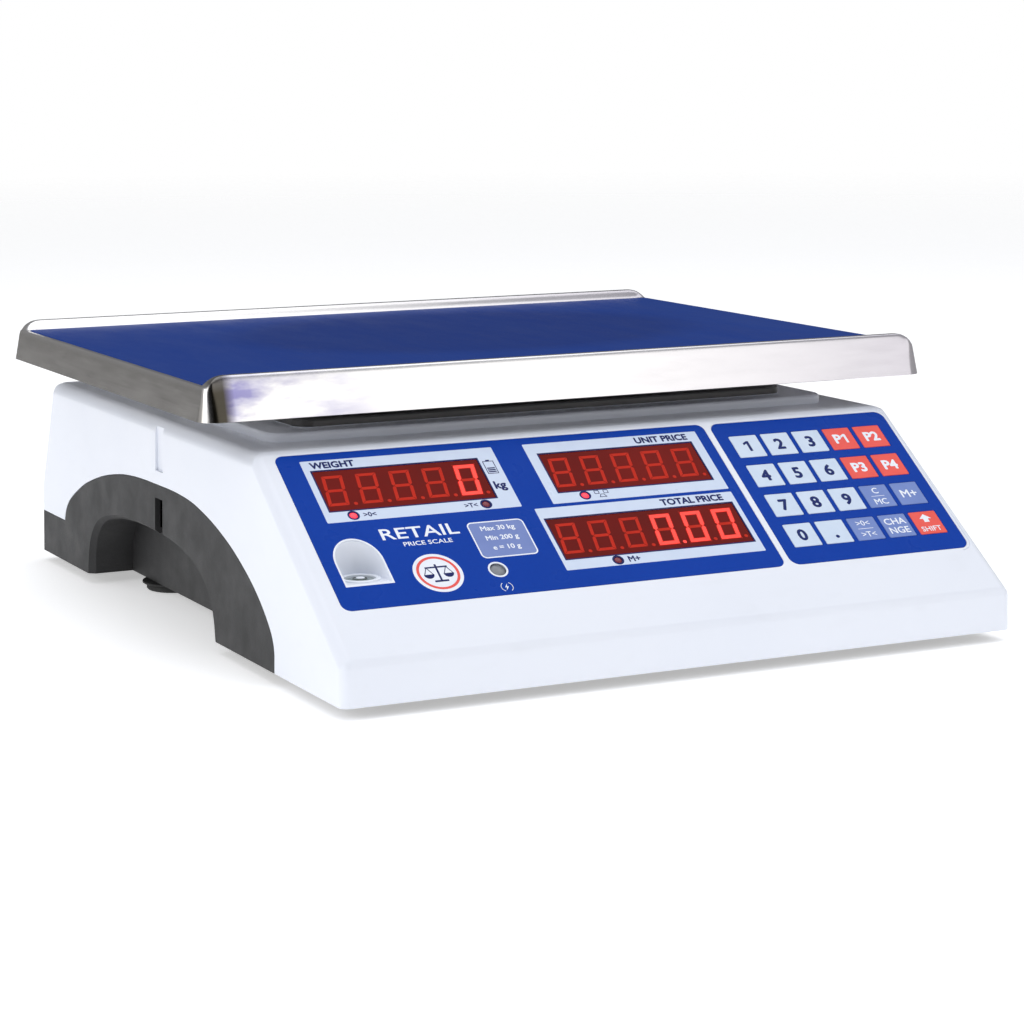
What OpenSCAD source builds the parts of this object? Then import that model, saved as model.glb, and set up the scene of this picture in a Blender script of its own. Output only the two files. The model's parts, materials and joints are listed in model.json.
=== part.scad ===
// Retail price scale: stainless weighing pan on a load cell, sloped display and keypad panel,
// white upper housing over a dark base with hand holds, customer display on the rear slope.
// Millimetres, +Z up, front faces -Y, origin at the bottom centre of the whole object.

/* [Housing] */
// Width of the housing
body_w = 320; // [280:1:360]
// Depth of the housing, front to back
body_d = 390; // [340:1:430]
// Height of the flat deck under the pan, above the table
deck_z = 93; // [80:1:110]
// Height of the upright front edge, above the table
lip_z = 23; // [15:1:30]
// Gap between the table and the housing's lower edge
foot_gap = 5; // [3:0.5:10]
// Slope of the display and keypad panel, degrees
slope = 35.6; // [25:0.1:45]
// Wall of the plastic housing
wall = 2.6; // [2:0.1:4]
// Corner radius of the housing seen from above
corner_r = 4; // [3:0.5:12]

/* [Pan] */
// Width of the pan over its skirts
pan_w = 357.6; // [300:0.2:400]
// Depth of the pan over its skirts
pan_d = 271; // [220:1:300]
// Centre of the pan behind the centre of the housing
pan_y = 38; // [0:1:60]
// Height of the pan's lower edge
pan_low = 106.7; // [100:0.1:120]
// Height of the pan's flat top
pan_top = 121.4; // [110:0.1:130]
// Height of the raised beads along the front and the rear edge
bead_z = 126; // [120:0.1:135]
// Sheet thickness of the pan
sheet = 1; // [0.6:0.1:2]
// Corner radius of the pan seen from above
pan_r = 7.5; // [3:0.5:12]

/* [Display] */
// Spacing of the display digits
digit_pitch = 15.24; // [10:0.01:20]
// Height of one digit module
digit_h = 23.7; // [18:0.1:30]
// Thickness of the window filters
lens_t = 2; // [1:0.1:3]

/* [Keypad] */
// Width of one key
key_w = 14.1; // [10:0.1:18]
// Height of one key
key_h = 13.8; // [10:0.1:18]
// Spacing of the key columns
key_px = 16.45; // [12:0.05:20]
// Spacing of the key rows
key_py = 18.85; // [12:0.05:22]
// Clearance around each key
key_gap = 0.2; // [0.1:0.05:0.5]

/* [Hidden] */
hw = body_w / 2;
hd = body_d / 2;
bot = foot_gap;
slope_y = (deck_z - lip_z) / tan(slope);
ymin = -hd;
film = 0.5;
panel_t = 3;
rear_z = 40;
rear_y = hd - 19;
rear_ang = atan2(deck_z - rear_z, hd - rear_y);
rear_len = norm([deck_z - rear_z, hd - rear_y]);
cell_z = 55;
cell_h = 22;
foot_x = 126;
foot_yf = -150;
foot_yr = 89;
screw_at = [[-143, -176], [143, -176], [-128, 60], [128, 60], [-143, 168], [143, 168]];
key_u = 226.7;
key_v = 37.5;
// lamps in the display overlay: across, up, radius, how far the face sits below the overlay
lamps = [[33.9, 79.6, 1.9, 0.1], [94.6, 79.5, 1.9, 0.1], [141.9, 79.5, 1.9, 0.1],
  [140.6, 40.4, 1.9, 0.1], [84.9, 41.8, 4.1, 1.1]];
// bolts of the load cell, from its middle: the pedestal holds the -X end, the carrier the +X end
bolt_x = [44, 56];
bolt_y = [-8, 8];
// height of the power switch above the table, its pivot inwards from the rear face, its swing
switch_z = 15.8;
pivot_in = 5.5;
rocker_swing = 16;

white = [0.93, 0.94, 0.97];
dark = [0.16, 0.16, 0.17];
blue = [0.10, 0.27, 0.62];
steel = [0.72, 0.72, 0.73];
red = [0.55, 0.06, 0.05];
green = [0.06, 0.32, 0.18];

// ---- outline helpers ----
function unit(v) = v / norm(v);
function side_n(a, b) = let (d = unit(b - a)) [-d[1], d[0]];
// every edge of a closed outline moved inwards by d; points run anticlockwise
function inset(p, d) = let (n = len(p)) [for (i = [0 : n - 1])
  let (a = p[(i + n - 1) % n], b = p[i], c = p[(i + 1) % n], m = side_n(a, b), k = side_n(b, c))
  b + d * (m + k) / (1 + m * k)];
function arc_pts(b, u, v, r, n) = let (
  half = acos(u * v) / 2, c = b + unit(u + v) * r / sin(half),
  s = b + u * r / tan(half) - c, turn = (180 - 2 * half) * (cross(u, v) > 0 ? -1 : 1))
  [for (i = [0 : n]) let (t = turn * i / n)
    c + [s[0] * cos(t) - s[1] * sin(t), s[0] * sin(t) + s[1] * cos(t)]];
// each corner i rounded to radius r[i] with n steps; 0 leaves it sharp
function rounded(p, r, n = 7) = let (m = len(p)) [for (i = [0 : m - 1])
  let (a = p[(i + m - 1) % m], b = p[i], c = p[(i + 1) % m])
  each (r[i] <= 0 ? [b] : arc_pts(b, unit(a - b), unit(c - b), r[i], n))];
function box_pts(x0, y0, x1, y1) = [[x0, y0], [x1, y0], [x1, y1], [x0, y1]];

module rrect(x0, y0, x1, y1, r, n = 7) {
  polygon(rounded(box_pts(x0, y0, x1, y1), [r, r, r, r], n));
}
module along_x(x0, x1) {
  translate([x0, 0, 0]) rotate([90, 0, 90]) linear_extrude(x1 - x0) children();
}
module along_y(y0, y1) {
  translate([0, y1, 0]) rotate([90, 0, 0]) linear_extrude(y1 - y0) children();
}
module slab(x0, y0, z0, x1, y1, z1) {
  translate([x0, y0, z0]) cube([x1 - x0, y1 - y0, z1 - z0]);
}
// panel frame: x across from the left edge, y up the slope, z out of the panel
module on_panel() {
  translate([-hw, ymin, lip_z]) rotate([slope, 0, 0]) children();
}
// rear slope frame: x across (towards -X), y up the slope, z out of the slope
module on_rear() {
  translate([0, hd, rear_z]) rotate([rear_ang, 0, 180]) children();
}

// ---- housing form ----
side_pts = [[ymin, bot], [hd, bot], [hd, rear_z], [rear_y, deck_z], [ymin + slope_y, deck_z],
  [ymin, lip_z]];
end_pts = [[-hw, bot], [hw, bot], [hw - 2.2, deck_z], [-hw + 2.2, deck_z]];
module form(d, low, k = 1) {
  s = inset(side_pts, d);
  e = inset(end_pts, d);
  intersection() {
    along_x(-hw - 1, hw + 1) polygon(rounded(
      [[s[0][0], low], [s[1][0], low], s[2], s[3], s[4], s[5]],
      [0, 0, max(12 - d, 3), max(6 - d, 2), max(8 - d, 3), max(5 - d, 2)]));
    along_y(-hd - 1, hd + 1) polygon(rounded([[e[0][0], low], [e[1][0], low], e[2], e[3]],
      [0, 0, max(7 - d, 2), max(7 - d, 2)]));
    translate([0, 0, low]) linear_extrude(200)
      rrect(-hw + d, -hd + d, hw - d, hd - d, max(corner_r - d, 2));
    on_panel() translate([0, 500, -d]) rotate([90, 0, 0]) linear_extrude(700) polygon(rounded(
      [[d, -400], [body_w - d, -400], [body_w - d, 0], [d, 0]],
      [0, 0, max(5.5 - d, 2), max(5.5 - d, 2)]));
  }
}
// side region that belongs to the dark base (Y, Z); o grows it
function base_curve() = [
  [-124, bot - 20], [-124, 12.5], [-122.8, 17], [-119, 22.5], [-110, 30.5], [-99, 37.8], [-87, 44],
  [-75.5, 49], [-64, 53], [-51.5, 56.6], [-39, 59.4], [-26, 61.6], [-12, 62.7], [2, 63.1], [25, 63],
  [39, 62.8], [53, 62.2], [67, 61], [81, 59], [96, 56.2], [111, 52.4], [124, 48.4], [135, 43.8],
  [144, 39.4], [150, 35.6], [154, 31.5], [155.8, 27.5], [156.3, 25.4]];
module base_side(o) {
  c = base_curve();
  back = [for (i = [len(c) - 1 : -1 : 0]) c[i]];
  polygon(inset(concat([[hd + 10, bot - 20], [hd + 10, 25.4]], back), -o));
}
// hand hold outline (Y, Z)
hold_pts = [[-56.4, bot - 10], [117.2, bot - 10], [117.2, 8], [116.6, 13], [115.4, 18.5], [113, 23.5],
  [109, 28], [103.5, 31.8], [96, 34.8], [87, 37], [77, 38.6], [65, 39.8], [51, 40.5], [37, 40.6],
  [23, 40.3], [9, 39.6], [-5, 38.3], [-17, 36.4], [-27, 34], [-35, 30.8], [-41.5, 27], [-46.5, 22.5],
  [-49.8, 17.5], [-51.8, 12], [-53, 6]];
module hand_hold(o) {
  polygon(inset(hold_pts, -o));
}

module pocket_plan(o) {
  translate([-hw + 27.2, ymin + 43.6]) circle(r = 10 + o, $fn = 64);
  translate([-hw + 17.2 - o, ymin + 33.3 - o]) square([20 + 2 * o, 10.3 + o]);
}
module level_pocket(o) {
  translate([0, 0, 46.9 - o]) linear_extrude(60) pocket_plan(o);
}

module deck_steps(d) {
  translate([0, 0, 60]) linear_extrude(37 - d) rrect(-140 + d, -75 + d, 140 - d, 152 - d, 10 - d);
  translate([0, 0, 60]) linear_extrude(41 - d) rrect(-123 + d, -64 + d, 123 - d, 140 - d, 8 - d);
}

module upper_housing() color(white) difference() {
  union() {
    difference() {
      union() {
        form(0, bot);
        deck_steps(0);
      }
      form(wall, bot - 10);
      deck_steps(wall);
    }
    // panel behind the windows and the keys
    intersection() {
      form(1, bot);
      union() {
        on_panel() slab(8, 20, -panel_t, body_w - 8, 121, -1.2);
        on_panel() slab(218, 30, -4.6, 315, 119, -1.2);
        difference() {
          level_pocket(2);
          on_panel() slab(0, 0, -0.5, 60, 100, 60);
        }
        on_rear() slab(-112, 4, -2.9, 112, 50, -1.2);
      }
    }
    // bosses for the housing screws
    intersection() {
      form(1, bot);
      union() {
        for (p = screw_at) translate([p[0], p[1], 12]) cylinder(h = 84, r = 4, $fn = 32);
        for (p = screw_at) if (p[1] > 0)
          slab(p[0] > 0 ? p[0] : -hw, p[1] - 1, 66, p[0] > 0 ? hw : p[0], p[1] + 1, 90);
      }
    }
  }
  // the part of the walls that the dark base takes
  for (s = [-1, 1]) along_x(s > 0 ? hw - 12 : -hw - 1, s > 0 ? hw + 1 : -hw + 12) base_side(0.3);
  slab(-hw - 1, 156, -5, hw + 1, hd + 1, 25.7);
  slab(-hw + wall, -hd + wall, -5, hw - wall, hd + 1, 10.6);
  // recess for the display overlay and the keypad overlay
  on_panel() translate([0, 0, -film]) linear_extrude(5) rrect(10.8, 27.3, 217.2, 117.2, 4.2);
  on_panel() translate([0, 0, -film]) linear_extrude(5) rrect(220.3, 27.3, 313, 116.7, 4.7);
  on_panel() key_field(1.4, -2.4, 1);
  // windows, lamp holes, level pocket
  on_panel() slab(24.6, 82.9, -9, 24.6 + 5 * digit_pitch, 82.9 + digit_h, 2);
  on_panel() slab(130.4, 82.6, -9, 130.4 + 5 * digit_pitch, 82.6 + digit_h, 2);
  on_panel() slab(117.5, 43.7, -9, 117.5 + 6 * digit_pitch, 43.7 + digit_h, 2);
  on_panel() for (p = lamps) translate([p[0], p[1], -9]) cylinder(h = 12, r = p[2], $fn = 48);
  level_pocket(0);
  translate([-hw + 27.2, ymin + 43.6, 40]) cylinder(h = 10, r = 7.6, $fn = 64);
  // carrier opening in the deck
  translate([50, pan_y, 80]) linear_extrude(30) rrect(-22, -24, 22, 24, 8);
  // grooves in the side walls under the pan
  for (s = [-1, 1]) slab(s > 0 ? hw - 3 : -hw - 1, 11.5, 69.5, s > 0 ? hw + 1 : -hw + 3, 21.5, 98);
  // customer display recess and windows in the rear slope
  on_rear() translate([0, 0, -film]) linear_extrude(4) rrect(-110, 6, 110, 48, 3);
  for (x = [-71, 0, 71]) on_rear() slab(x - 30.6, 14, -9, x + 30.6, 36, 2);
  // screw pilot holes
  for (p = screw_at) translate([p[0], p[1], 5]) cylinder(h = p[1] < 0 ? 20 : 34, r = 1.5, $fn = 24);
}

module lower_base() color(dark) difference() {
  union() {
    // flush walls: both sides below the parting curve, and the rear strip
    difference() {
      intersection() {
        form(0, bot);
        union() {
          for (s = [-1, 1]) along_x(s > 0 ? hw - 9 : -hw - 1, s > 0 ? hw + 1 : -hw + 9) base_side(0);
          slab(-hw - 1, 156.3, bot - 1, hw + 1, hd + 1, 25.4);
        }
      }
      form(wall, bot - 10);
    }
    // floor: inside the white walls at the front, flush with the outside behind them
    intersection() {
      form(wall + 0.2, bot - 10);
      slab(-hw, -hd, bot, hw, -120, bot + 2.6);
    }
    intersection() {
      form(0, bot);
      slab(-hw, -123.8, bot, hw, hd, bot + 2.6);
    }
    // hand-hold pockets
    for (s = [-1, 1]) intersection() {
      form(0.6, bot);
      along_x(s > 0 ? hw - 24.6 : -hw, s > 0 ? hw : -hw + 24.6) hand_hold(2.6);
    }
    // bosses for the feet and for the screws
    for (x = [-foot_x, foot_x], y = [foot_yf, foot_yr])
      translate([x, y, bot]) cylinder(h = 16, r = 9.5, $fn = 48);
    for (p = screw_at) translate([p[0], p[1], bot]) cylinder(h = 6.9, r = 4, $fn = 32);
    // floor ribs and rails for the chassis plate
    for (y = [-20, 96]) slab(-100, y - 1.2, bot + 1, 100, y + 1.2, 10);
    for (x = [-80, 80]) slab(x - 1.2, -20, bot + 1, x + 1.2, 96, 10);
    // battery well
    slab(-62, 108, bot + 1, 62, 172, 12);
  }
  // hand holds
  for (s = [-1, 1]) along_x(s > 0 ? hw - 22 : -hw - 2, s > 0 ? hw + 2 : -hw + 22) hand_hold(0);
  // slots above the hand holds
  for (s = [-1, 1]) slab(s > 0 ? hw - 5 : -hw - 1, 12.2, 34, s > 0 ? hw + 1 : -hw + 5, 22.2, 57);
  // foot threads, screw holes
  for (x = [-foot_x, foot_x], y = [foot_yf, foot_yr])
    translate([x, y, bot - 1]) cylinder(h = 15.5, r = 4.3, $fn = 48);
  for (p = screw_at) translate([p[0], p[1], bot - 1]) {
    cylinder(h = 20, r = 1.9, $fn = 24);
    cylinder(h = 4.2, r = 3.6, $fn = 32);
  }
  // battery well opening and cover seat
  slab(-59.4, 110.6, bot - 1, 59.4, 169.4, 30);
  slab(-61, 109, bot - 1, 61, 171, bot + 1.8);
  // inlet and switch cut-outs in the rear strip
  along_y(hd - 8, hd + 2) translate([96, switch_z]) circle(r = 6, $fn = 48);
  slab(53.2, hd - 8, 9.2, 74.8, hd + 2, 22.4);
  // vent slots in the floor
  for (x = [-60 : 10 : 60]) slab(x - 1.5, -120, bot - 1, x + 1.5, -80, bot + 4);
}

module display_overlay() color(blue) on_panel() difference() {
  translate([0, 0, -film]) linear_extrude(film) rrect(11, 27.5, 217, 117, 4);
  translate([0, 0, -1]) linear_extrude(3) {
    translate([24.6, 82.9]) square([5 * digit_pitch, digit_h]);
    translate([130.4, 82.6]) square([5 * digit_pitch, digit_h]);
    translate([117.5, 43.7]) square([6 * digit_pitch, digit_h]);
    for (p = lamps) translate([p[0], p[1]]) circle(r = p[2], $fn = 48);
  }
  translate([hw, 0, 0]) rotate([-slope, 0, 0]) translate([0, -ymin, -lip_z]) level_pocket(0);
}

module keypad_overlay() color(blue) on_panel() difference() {
  translate([0, 0, -film]) linear_extrude(film) rrect(220.5, 27.5, 312.8, 116.5, 4.5);
  for (c = [0 : 4], r = [0 : 3])
    translate([key_u + c * key_px - key_gap, key_v + r * key_py - key_gap, -1])
      cube([key_w + 2 * key_gap, key_h + 2 * key_gap, 3]);
}

// the rectangle that holds all the keys, grown by o
module key_field(o, z0, z1) {
  slab(key_u - o, key_v - o, z0, key_u + 4 * key_px + key_w + o, key_v + 3 * key_py + key_h + o, z1);
}
module keypad_membrane() color([0.75, 0.77, 0.8]) on_panel() key_field(1.2, -2.4, -1.9);

module lens(u, v, n) {
  color(red) on_panel() slab(u, v, -lens_t, u + n * digit_pitch, v + digit_h, 0);
}
module weight_window() lens(24.6, 82.9, 5);
module unit_price_window() lens(130.4, 82.6, 5);
module total_price_window() lens(117.5, 43.7, 6);

module digits(u, v, n) {
  color([0.85, 0.86, 0.86]) on_panel() for (i = [0 : n - 1]) translate([u + i * digit_pitch, v, 0])
    slab(0.05, 0.1, -9.5, digit_pitch - 0.05, digit_h - 0.1, -lens_t);
}
module weight_digits() digits(24.6, 82.9, 5);
module unit_price_digits() digits(130.4, 82.6, 5);
module total_price_digits() digits(117.5, 43.7, 6);

module indicator_lamps() color([0.8, 0.1, 0.1]) on_panel()
  for (p = lamps) translate([p[0], p[1], -9.5]) cylinder(h = 9.5 - p[3], r = p[2] - 0.1, $fn = 48);

module display_board() color(green) difference() {
  on_panel() slab(14, 32, -11.1, 214, 112, -9.5);
  level_pocket(2.4);
  translate([-hw + 27.2, ymin + 43.6, 30]) cylinder(h = 30, r = 10, $fn = 48);
  on_panel() for (u = [70, 210], v = [36, 110]) translate([u, v, -12]) cylinder(h = 4, r = 1.6, $fn = 24);
}

module spirit_level() color([0.75, 0.85, 0.6]) translate([-hw + 27.2, ymin + 43.6, 0]) {
  translate([0, 0, 40.5]) cylinder(h = 6.9, r = 7.5, $fn = 64);
  translate([0, 0, 46.9]) difference() {
    cylinder(h = 0.8, r = 8.6, $fn = 64);
    translate([0, 0, 0.5]) cylinder(h = 1, r = 6.6, $fn = 64);
  }
}

module key(c, r, tint) {
  color(tint) on_panel() translate([key_u + c * key_px, key_v + (3 - r) * key_py, 0]) {
    translate([0, 0, -1.2]) linear_extrude(1.3) rrect(0, 0, key_w, key_h, 0.5, 3);
    translate([key_w / 2, key_h / 2, -1.45]) cylinder(h = 0.3, r = 3, $fn = 32);
  }
}
pale = [0.82, 0.88, 0.94];
coral = [0.93, 0.29, 0.23];
slate = [0.44, 0.53, 0.78];
module key_1() key(0, 0, pale);
module key_2() key(1, 0, pale);
module key_3() key(2, 0, pale);
module key_p1() key(3, 0, coral);
module key_p2() key(4, 0, coral);
module key_4() key(0, 1, pale);
module key_5() key(1, 1, pale);
module key_6() key(2, 1, pale);
module key_p3() key(3, 1, coral);
module key_p4() key(4, 1, coral);
module key_7() key(0, 2, pale);
module key_8() key(1, 2, pale);
module key_9() key(2, 2, pale);
module key_clear() key(3, 2, slate);
module key_memory() key(4, 2, slate);
module key_0() key(0, 3, pale);
module key_point() key(1, 3, pale);
module key_zero() key(2, 3, slate);
module key_change() key(3, 3, slate);
module key_shift() key(4, 3, coral);

// pan: side outline (X, Z) with rounded upper ends, and bead outline (Y, Z)
module pan_side(d) {
  w = pan_w / 2;
  x = w - 3.5 - d;
  polygon(rounded([[-w + d, pan_low - 0.01], [w - d, pan_low - 0.01], [x, bead_z - d], [-x, bead_z - d]],
    [0, 0, 11 - d, 11 - d], 9));
}
module pan_flat(d) {
  w = pan_w / 2;
  x = w - 2.6 - d;
  t = pan_top - 0.5 - d;
  polygon(rounded([[-w + d, pan_low - 0.01], [w - d, pan_low - 0.01], [x, t], [-x, t]],
    [0, 0, 2.6 - d, 2.6 - d], 6));
}
module pan_cross(d) {
  y = pan_d / 2 - d;
  t = pan_top - 0.5 - d;
  b = bead_z - d;
  p = [[-y, pan_low - 0.01], [y, pan_low - 0.01], [y - 5.6, b], [y - 9.2 + d, b], [y - 12.4 + 2 * d, t],
    [-y + 12.4 - 2 * d, t], [-y + 9.2 - d, b], [-y + 5.6, b]];
  polygon(rounded(p, [0, 0, 2.6 - d, 1.6 - d / 2, 1.6, 1.6, 1.6 - d / 2, 2.6 - d], 6));
}
module pan_form(d) {
  intersection() {
    union() {
      intersection() {
        along_y(pan_y - pan_d / 2, pan_y + pan_d / 2) pan_flat(d);
        translate([0, 0, pan_low]) linear_extrude(30) pan_plan(d);
      }
      intersection() {
        along_y(pan_y - pan_d / 2, pan_y + pan_d / 2) pan_side(d);
        for (s = [-1, 1]) translate([0, pan_y + s * (pan_d / 2 - 7), 0])
          slab(-200, -8, pan_low - 1, 200, 8, 140);
      }
    }
    translate([0, pan_y, 0]) along_x(-200, 200) pan_cross(d);
    translate([0, 0, pan_low - 0.01]) linear_extrude(30) pan_plan(d);
  }
}
module pan_plan(d) {
  rrect(-pan_w / 2 + d, pan_y - pan_d / 2 + d, pan_w / 2 - d, pan_y + pan_d / 2 - d,
    pan_r - d);
}
module weighing_pan() color(steel) difference() {
  pan_form(0);
  translate([0, 0, -0.02]) pan_form(sheet);
}

module pan_film() color([0.15, 0.26, 0.51])
  translate([0, 0, pan_top - 0.5]) linear_extrude(0.5)
    rrect(-pan_w / 2 + 5, pan_y - pan_d / 2 + 13.4, pan_w / 2 - 5, pan_y + pan_d / 2 - 13.4, 2);

pad_x = 120;
pad_y = 85;
arm = norm([pad_x, pad_y]);
// the pads stop just under the pan's sheet
under = pan_top - 0.53 - sheet;
cell_top = cell_z + cell_h;
module at_pads(z) {
  for (x = [-pad_x, pad_x], y = [-pad_y, pad_y]) translate([x, pan_y + y, z]) children();
}
module at_bolts(side, z) {
  for (x = bolt_x, y = bolt_y) translate([side * x, pan_y + y, z]) children();
}
module pan_carrier() color([0.62, 0.63, 0.65]) difference() {
  union() {
    // crossed arms with a rib on each, pad seats, middle plate, column down to the load cell
    for (s = [-1, 1]) translate([0, pan_y, 104]) rotate([0, 0, s * atan2(pad_y, pad_x)]) {
      translate([-arm, -9, 0]) cube([2 * arm, 18, 8]);
      translate([-arm, -1.5, 8]) cube([2 * arm, 3, 3]);
    }
    at_pads(104) cylinder(h = 10, r = 11, $fn = 48);
    translate([0, pan_y, 104]) linear_extrude(9) rrect(-40, -26, 68, 26, 10);
    translate([36, pan_y - 15, cell_top]) cube([28, 30, 28]);
  }
  at_bolts(1, 60) cylinder(h = 70, r = 3.1, $fn = 32);
  at_bolts(1, 107) cylinder(h = 30, r = 5.4, $fn = 32);
  at_pads(111) cylinder(h = 10, r = 8, $fn = 48);
}
module carrier_pads() color([0.1, 0.1, 0.1]) at_pads(111) cylinder(h = under - 111, r = 7.9, $fn = 48);
module carrier_bolts() color(steel) {
  at_bolts(1, cell_top - 10) cylinder(h = 107 - cell_top + 10, r = 3, $fn = 32);
  at_bolts(1, 107) difference() {
    cylinder(h = 5.5, r = 5, $fn = 32);
    translate([0, 0, 2.5]) cylinder(h = 4, r = 2.9, $fn = 6);
  }
}

module load_cell() color([0.78, 0.79, 0.8]) difference() {
  translate([-65, pan_y - 15, cell_z]) cube([130, 30, cell_h]);
  // the dumb-bell hole that makes the beam flex
  along_y(pan_y - 20, pan_y + 20) {
    for (x = [-13, 13]) translate([x, cell_z + cell_h / 2]) circle(r = 7.5, $fn = 64);
    translate([-13, cell_z + cell_h / 2 - 1.5]) square([26, 3]);
  }
  at_bolts(-1, cell_z - 1) cylinder(h = 18, r = 3, $fn = 32);
  at_bolts(1, cell_top - 12) cylinder(h = 14, r = 3.4, $fn = 32);
}
module load_cell_pedestal() color([0.6, 0.6, 0.62]) difference() {
  union() {
    translate([-70, pan_y - 19, 12]) cube([36, 38, 5]);
    translate([-65, pan_y - 15, 12]) cube([28, 30, cell_z - 12]);
    translate([-37, pan_y - 4, 12]) cube([17, 8, 5]);
  }
  at_bolts(-1, 11) cylinder(h = 60, r = 3.1, $fn = 32);
  at_bolts(-1, 11) cylinder(h = 26, r = 5.3, $fn = 32);
}
module load_cell_bolts() color(steel) {
  at_bolts(-1, 31.5) cylinder(h = 5.5, r = 5, $fn = 32);
  at_bolts(-1, 37) cylinder(h = cell_z + 14 - 37, r = 3, $fn = 32);
}
module chassis_plate() color([0.66, 0.67, 0.69]) difference() {
  slab(-100, -22, 10, 100, 98, 12);
  at_bolts(-1, 9) cylinder(h = 6, r = 5.3, $fn = 32);
  for (x = [-94, 94], y = [-16, 92]) translate([x, y, 9]) cylinder(h = 6, r = 2.2, $fn = 24);
  translate([50, pan_y, 9]) cylinder(h = 6, r = 3.1, $fn = 32);
}
module overload_stop() color(steel) translate([50, pan_y, 0]) {
  translate([0, 0, 8.5]) cylinder(h = cell_z - 0.9 - 8.5, r = 3, $fn = 32);
  translate([0, 0, 12]) cylinder(h = 5, r = 5.6, $fn = 6);
}

module main_board() color(green) {
  slab(-96, -118, 14, 6, -34, 15.6);
  for (x = [-88, -2], y = [-112, -40]) translate([x, y, bot + 2.6]) cylinder(h = 6.4, r = 3, $fn = 24);
  slab(-70, -92, 15.6, -46, -76, 18.6);
  slab(-34, -96, 15.6, -22, -84, 18.2);
  slab(-86, -62, 15.6, -56, -54, 24);
  for (x = [-40, -28, -16]) translate([x, -56, 15.6]) cylinder(h = 11, r = 4, $fn = 32);
}
module power_supply() color([0.2, 0.2, 0.22]) {
  slab(20, -118, bot + 2.6, 98, -40, bot + 5);
  translate([34, -104, bot + 5]) cube([44, 48, 34]);
  slab(28, -96, bot + 5, 34, -64, bot + 31);
  slab(78, -96, bot + 5, 84, -64, bot + 31);
}
module battery() color([0.25, 0.25, 0.28]) {
  slab(-56, 113, bot + 2.4, 56, 167, 58);
  for (x = [-46, 38]) slab(x, 118, 58, x + 8, 123, 64);
}
module battery_cover() color([0.13, 0.13, 0.14]) difference() {
  union() {
    slab(-60.8, 109.2, bot, 60.8, 170.8, bot + 1.6);
    slab(-58, 112, bot + 1.6, 58, 168, bot + 2.3);
  }
  for (i = [0 : 5]) slab(-20, 150 + i * 2.4, bot - 1, 20, 151.2 + i * 2.4, bot + 0.6);
  translate([0, 116, bot - 1]) cylinder(h = 1.8, r = 3, $fn = 24);
}
module housing_screws() color(steel)
  for (p = screw_at) translate([p[0], p[1], 0]) {
    translate([0, 0, bot + 0.6]) difference() {
      cylinder(h = 2.6, r = 3.2, $fn = 32);
      translate([0, 0, -1]) linear_extrude(2.2) {
        square([3.4, 0.8], center = true);
        square([0.8, 3.4], center = true);
      }
    }
    translate([0, 0, bot + 3.2]) cylinder(h = p[1] < 0 ? 14 : 22, r = 1.5, $fn = 24);
  }

module power_inlet() color([0.08, 0.08, 0.08]) translate([96, hd, switch_z]) rotate([90, 0, 0]) {
  difference() {
    union() {
      translate([0, 0, 0.3]) cylinder(h = 12, r = 5.9, $fn = 48);
      translate([0, 0, 2.9]) cylinder(h = 9, r = 6.8, $fn = 48);
    }
    translate([0, 0, -1]) cylinder(h = 9.9, r = 2.9, $fn = 32);
  }
  translate([0, 0, 1.4]) cylinder(h = 8, r = 1, $fn = 24);
}
module switch_frame() color([0.08, 0.08, 0.08]) {
  difference() {
    slab(53.3, hd - 16, 9.3, 74.7, hd - 0.3, 22.3);
    slab(54.6, hd - 13, 10.6, 73.4, hd + 2, 21);
  }
  along_x(53.4, 74.6) translate([hd - pivot_in, switch_z]) circle(r = 0.9, $fn = 32);
}
// seen from the side, half of its swing away from the middle position
module power_rocker() color([0.12, 0.12, 0.12]) translate([64, hd - pivot_in, switch_z])
  along_x(-8.8, 8.8) difference() {
    rotate(rocker_swing / 2) polygon([[-2.4, -3.2], [1.5, -4.4], [4.6, -4.4], [3.7, 0], [4.6, 4.4],
      [1.5, 4.4], [-2.4, 3.2]]);
    circle(r = 1.2, $fn = 32);
  }

module foot(x, y) {
  color([0.07, 0.07, 0.07]) translate([x, y, 0]) {
    cylinder(h = 3.2, r = 14, $fn = 64);
    translate([0, 0, 3.2]) cylinder(h = 1.4, r = 16, $fn = 64);
    translate([0, 0, 4.6]) cylinder(h = 8.4, r = 4, $fn = 48);
  }
}
module foot_front_left() foot(-foot_x, foot_yf);
module foot_front_right() foot(foot_x, foot_yf);
module foot_rear_left() foot(-foot_x, foot_yr);
module foot_rear_right() foot(foot_x, foot_yr);

module rear_overlay() color(blue) on_rear() difference() {
  translate([0, 0, -film]) linear_extrude(film) rrect(-109.8, 6.2, 109.8, 47.8, 2.8);
  for (x = [-71, 0, 71]) slab(x - 30.6, 14, -2, x + 30.6, 36, 2);
}
module rear_windows() color(red) on_rear()
  for (x = [-71, 0, 71]) slab(x - 30.6, 14, -lens_t, x + 30.6, 36, 0);
module rear_digits() color([0.85, 0.86, 0.86]) on_rear()
  for (x = [-71, 0, 71], i = [-2 : 1]) translate([x + i * digit_pitch, 0, 0])
    slab(0.05, 14.5, -8.5, digit_pitch - 0.05, 35.5, -lens_t);
module rear_board() color(green) on_rear() slab(-106, 8, -10.1, 106, 42, -8.5);

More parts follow.
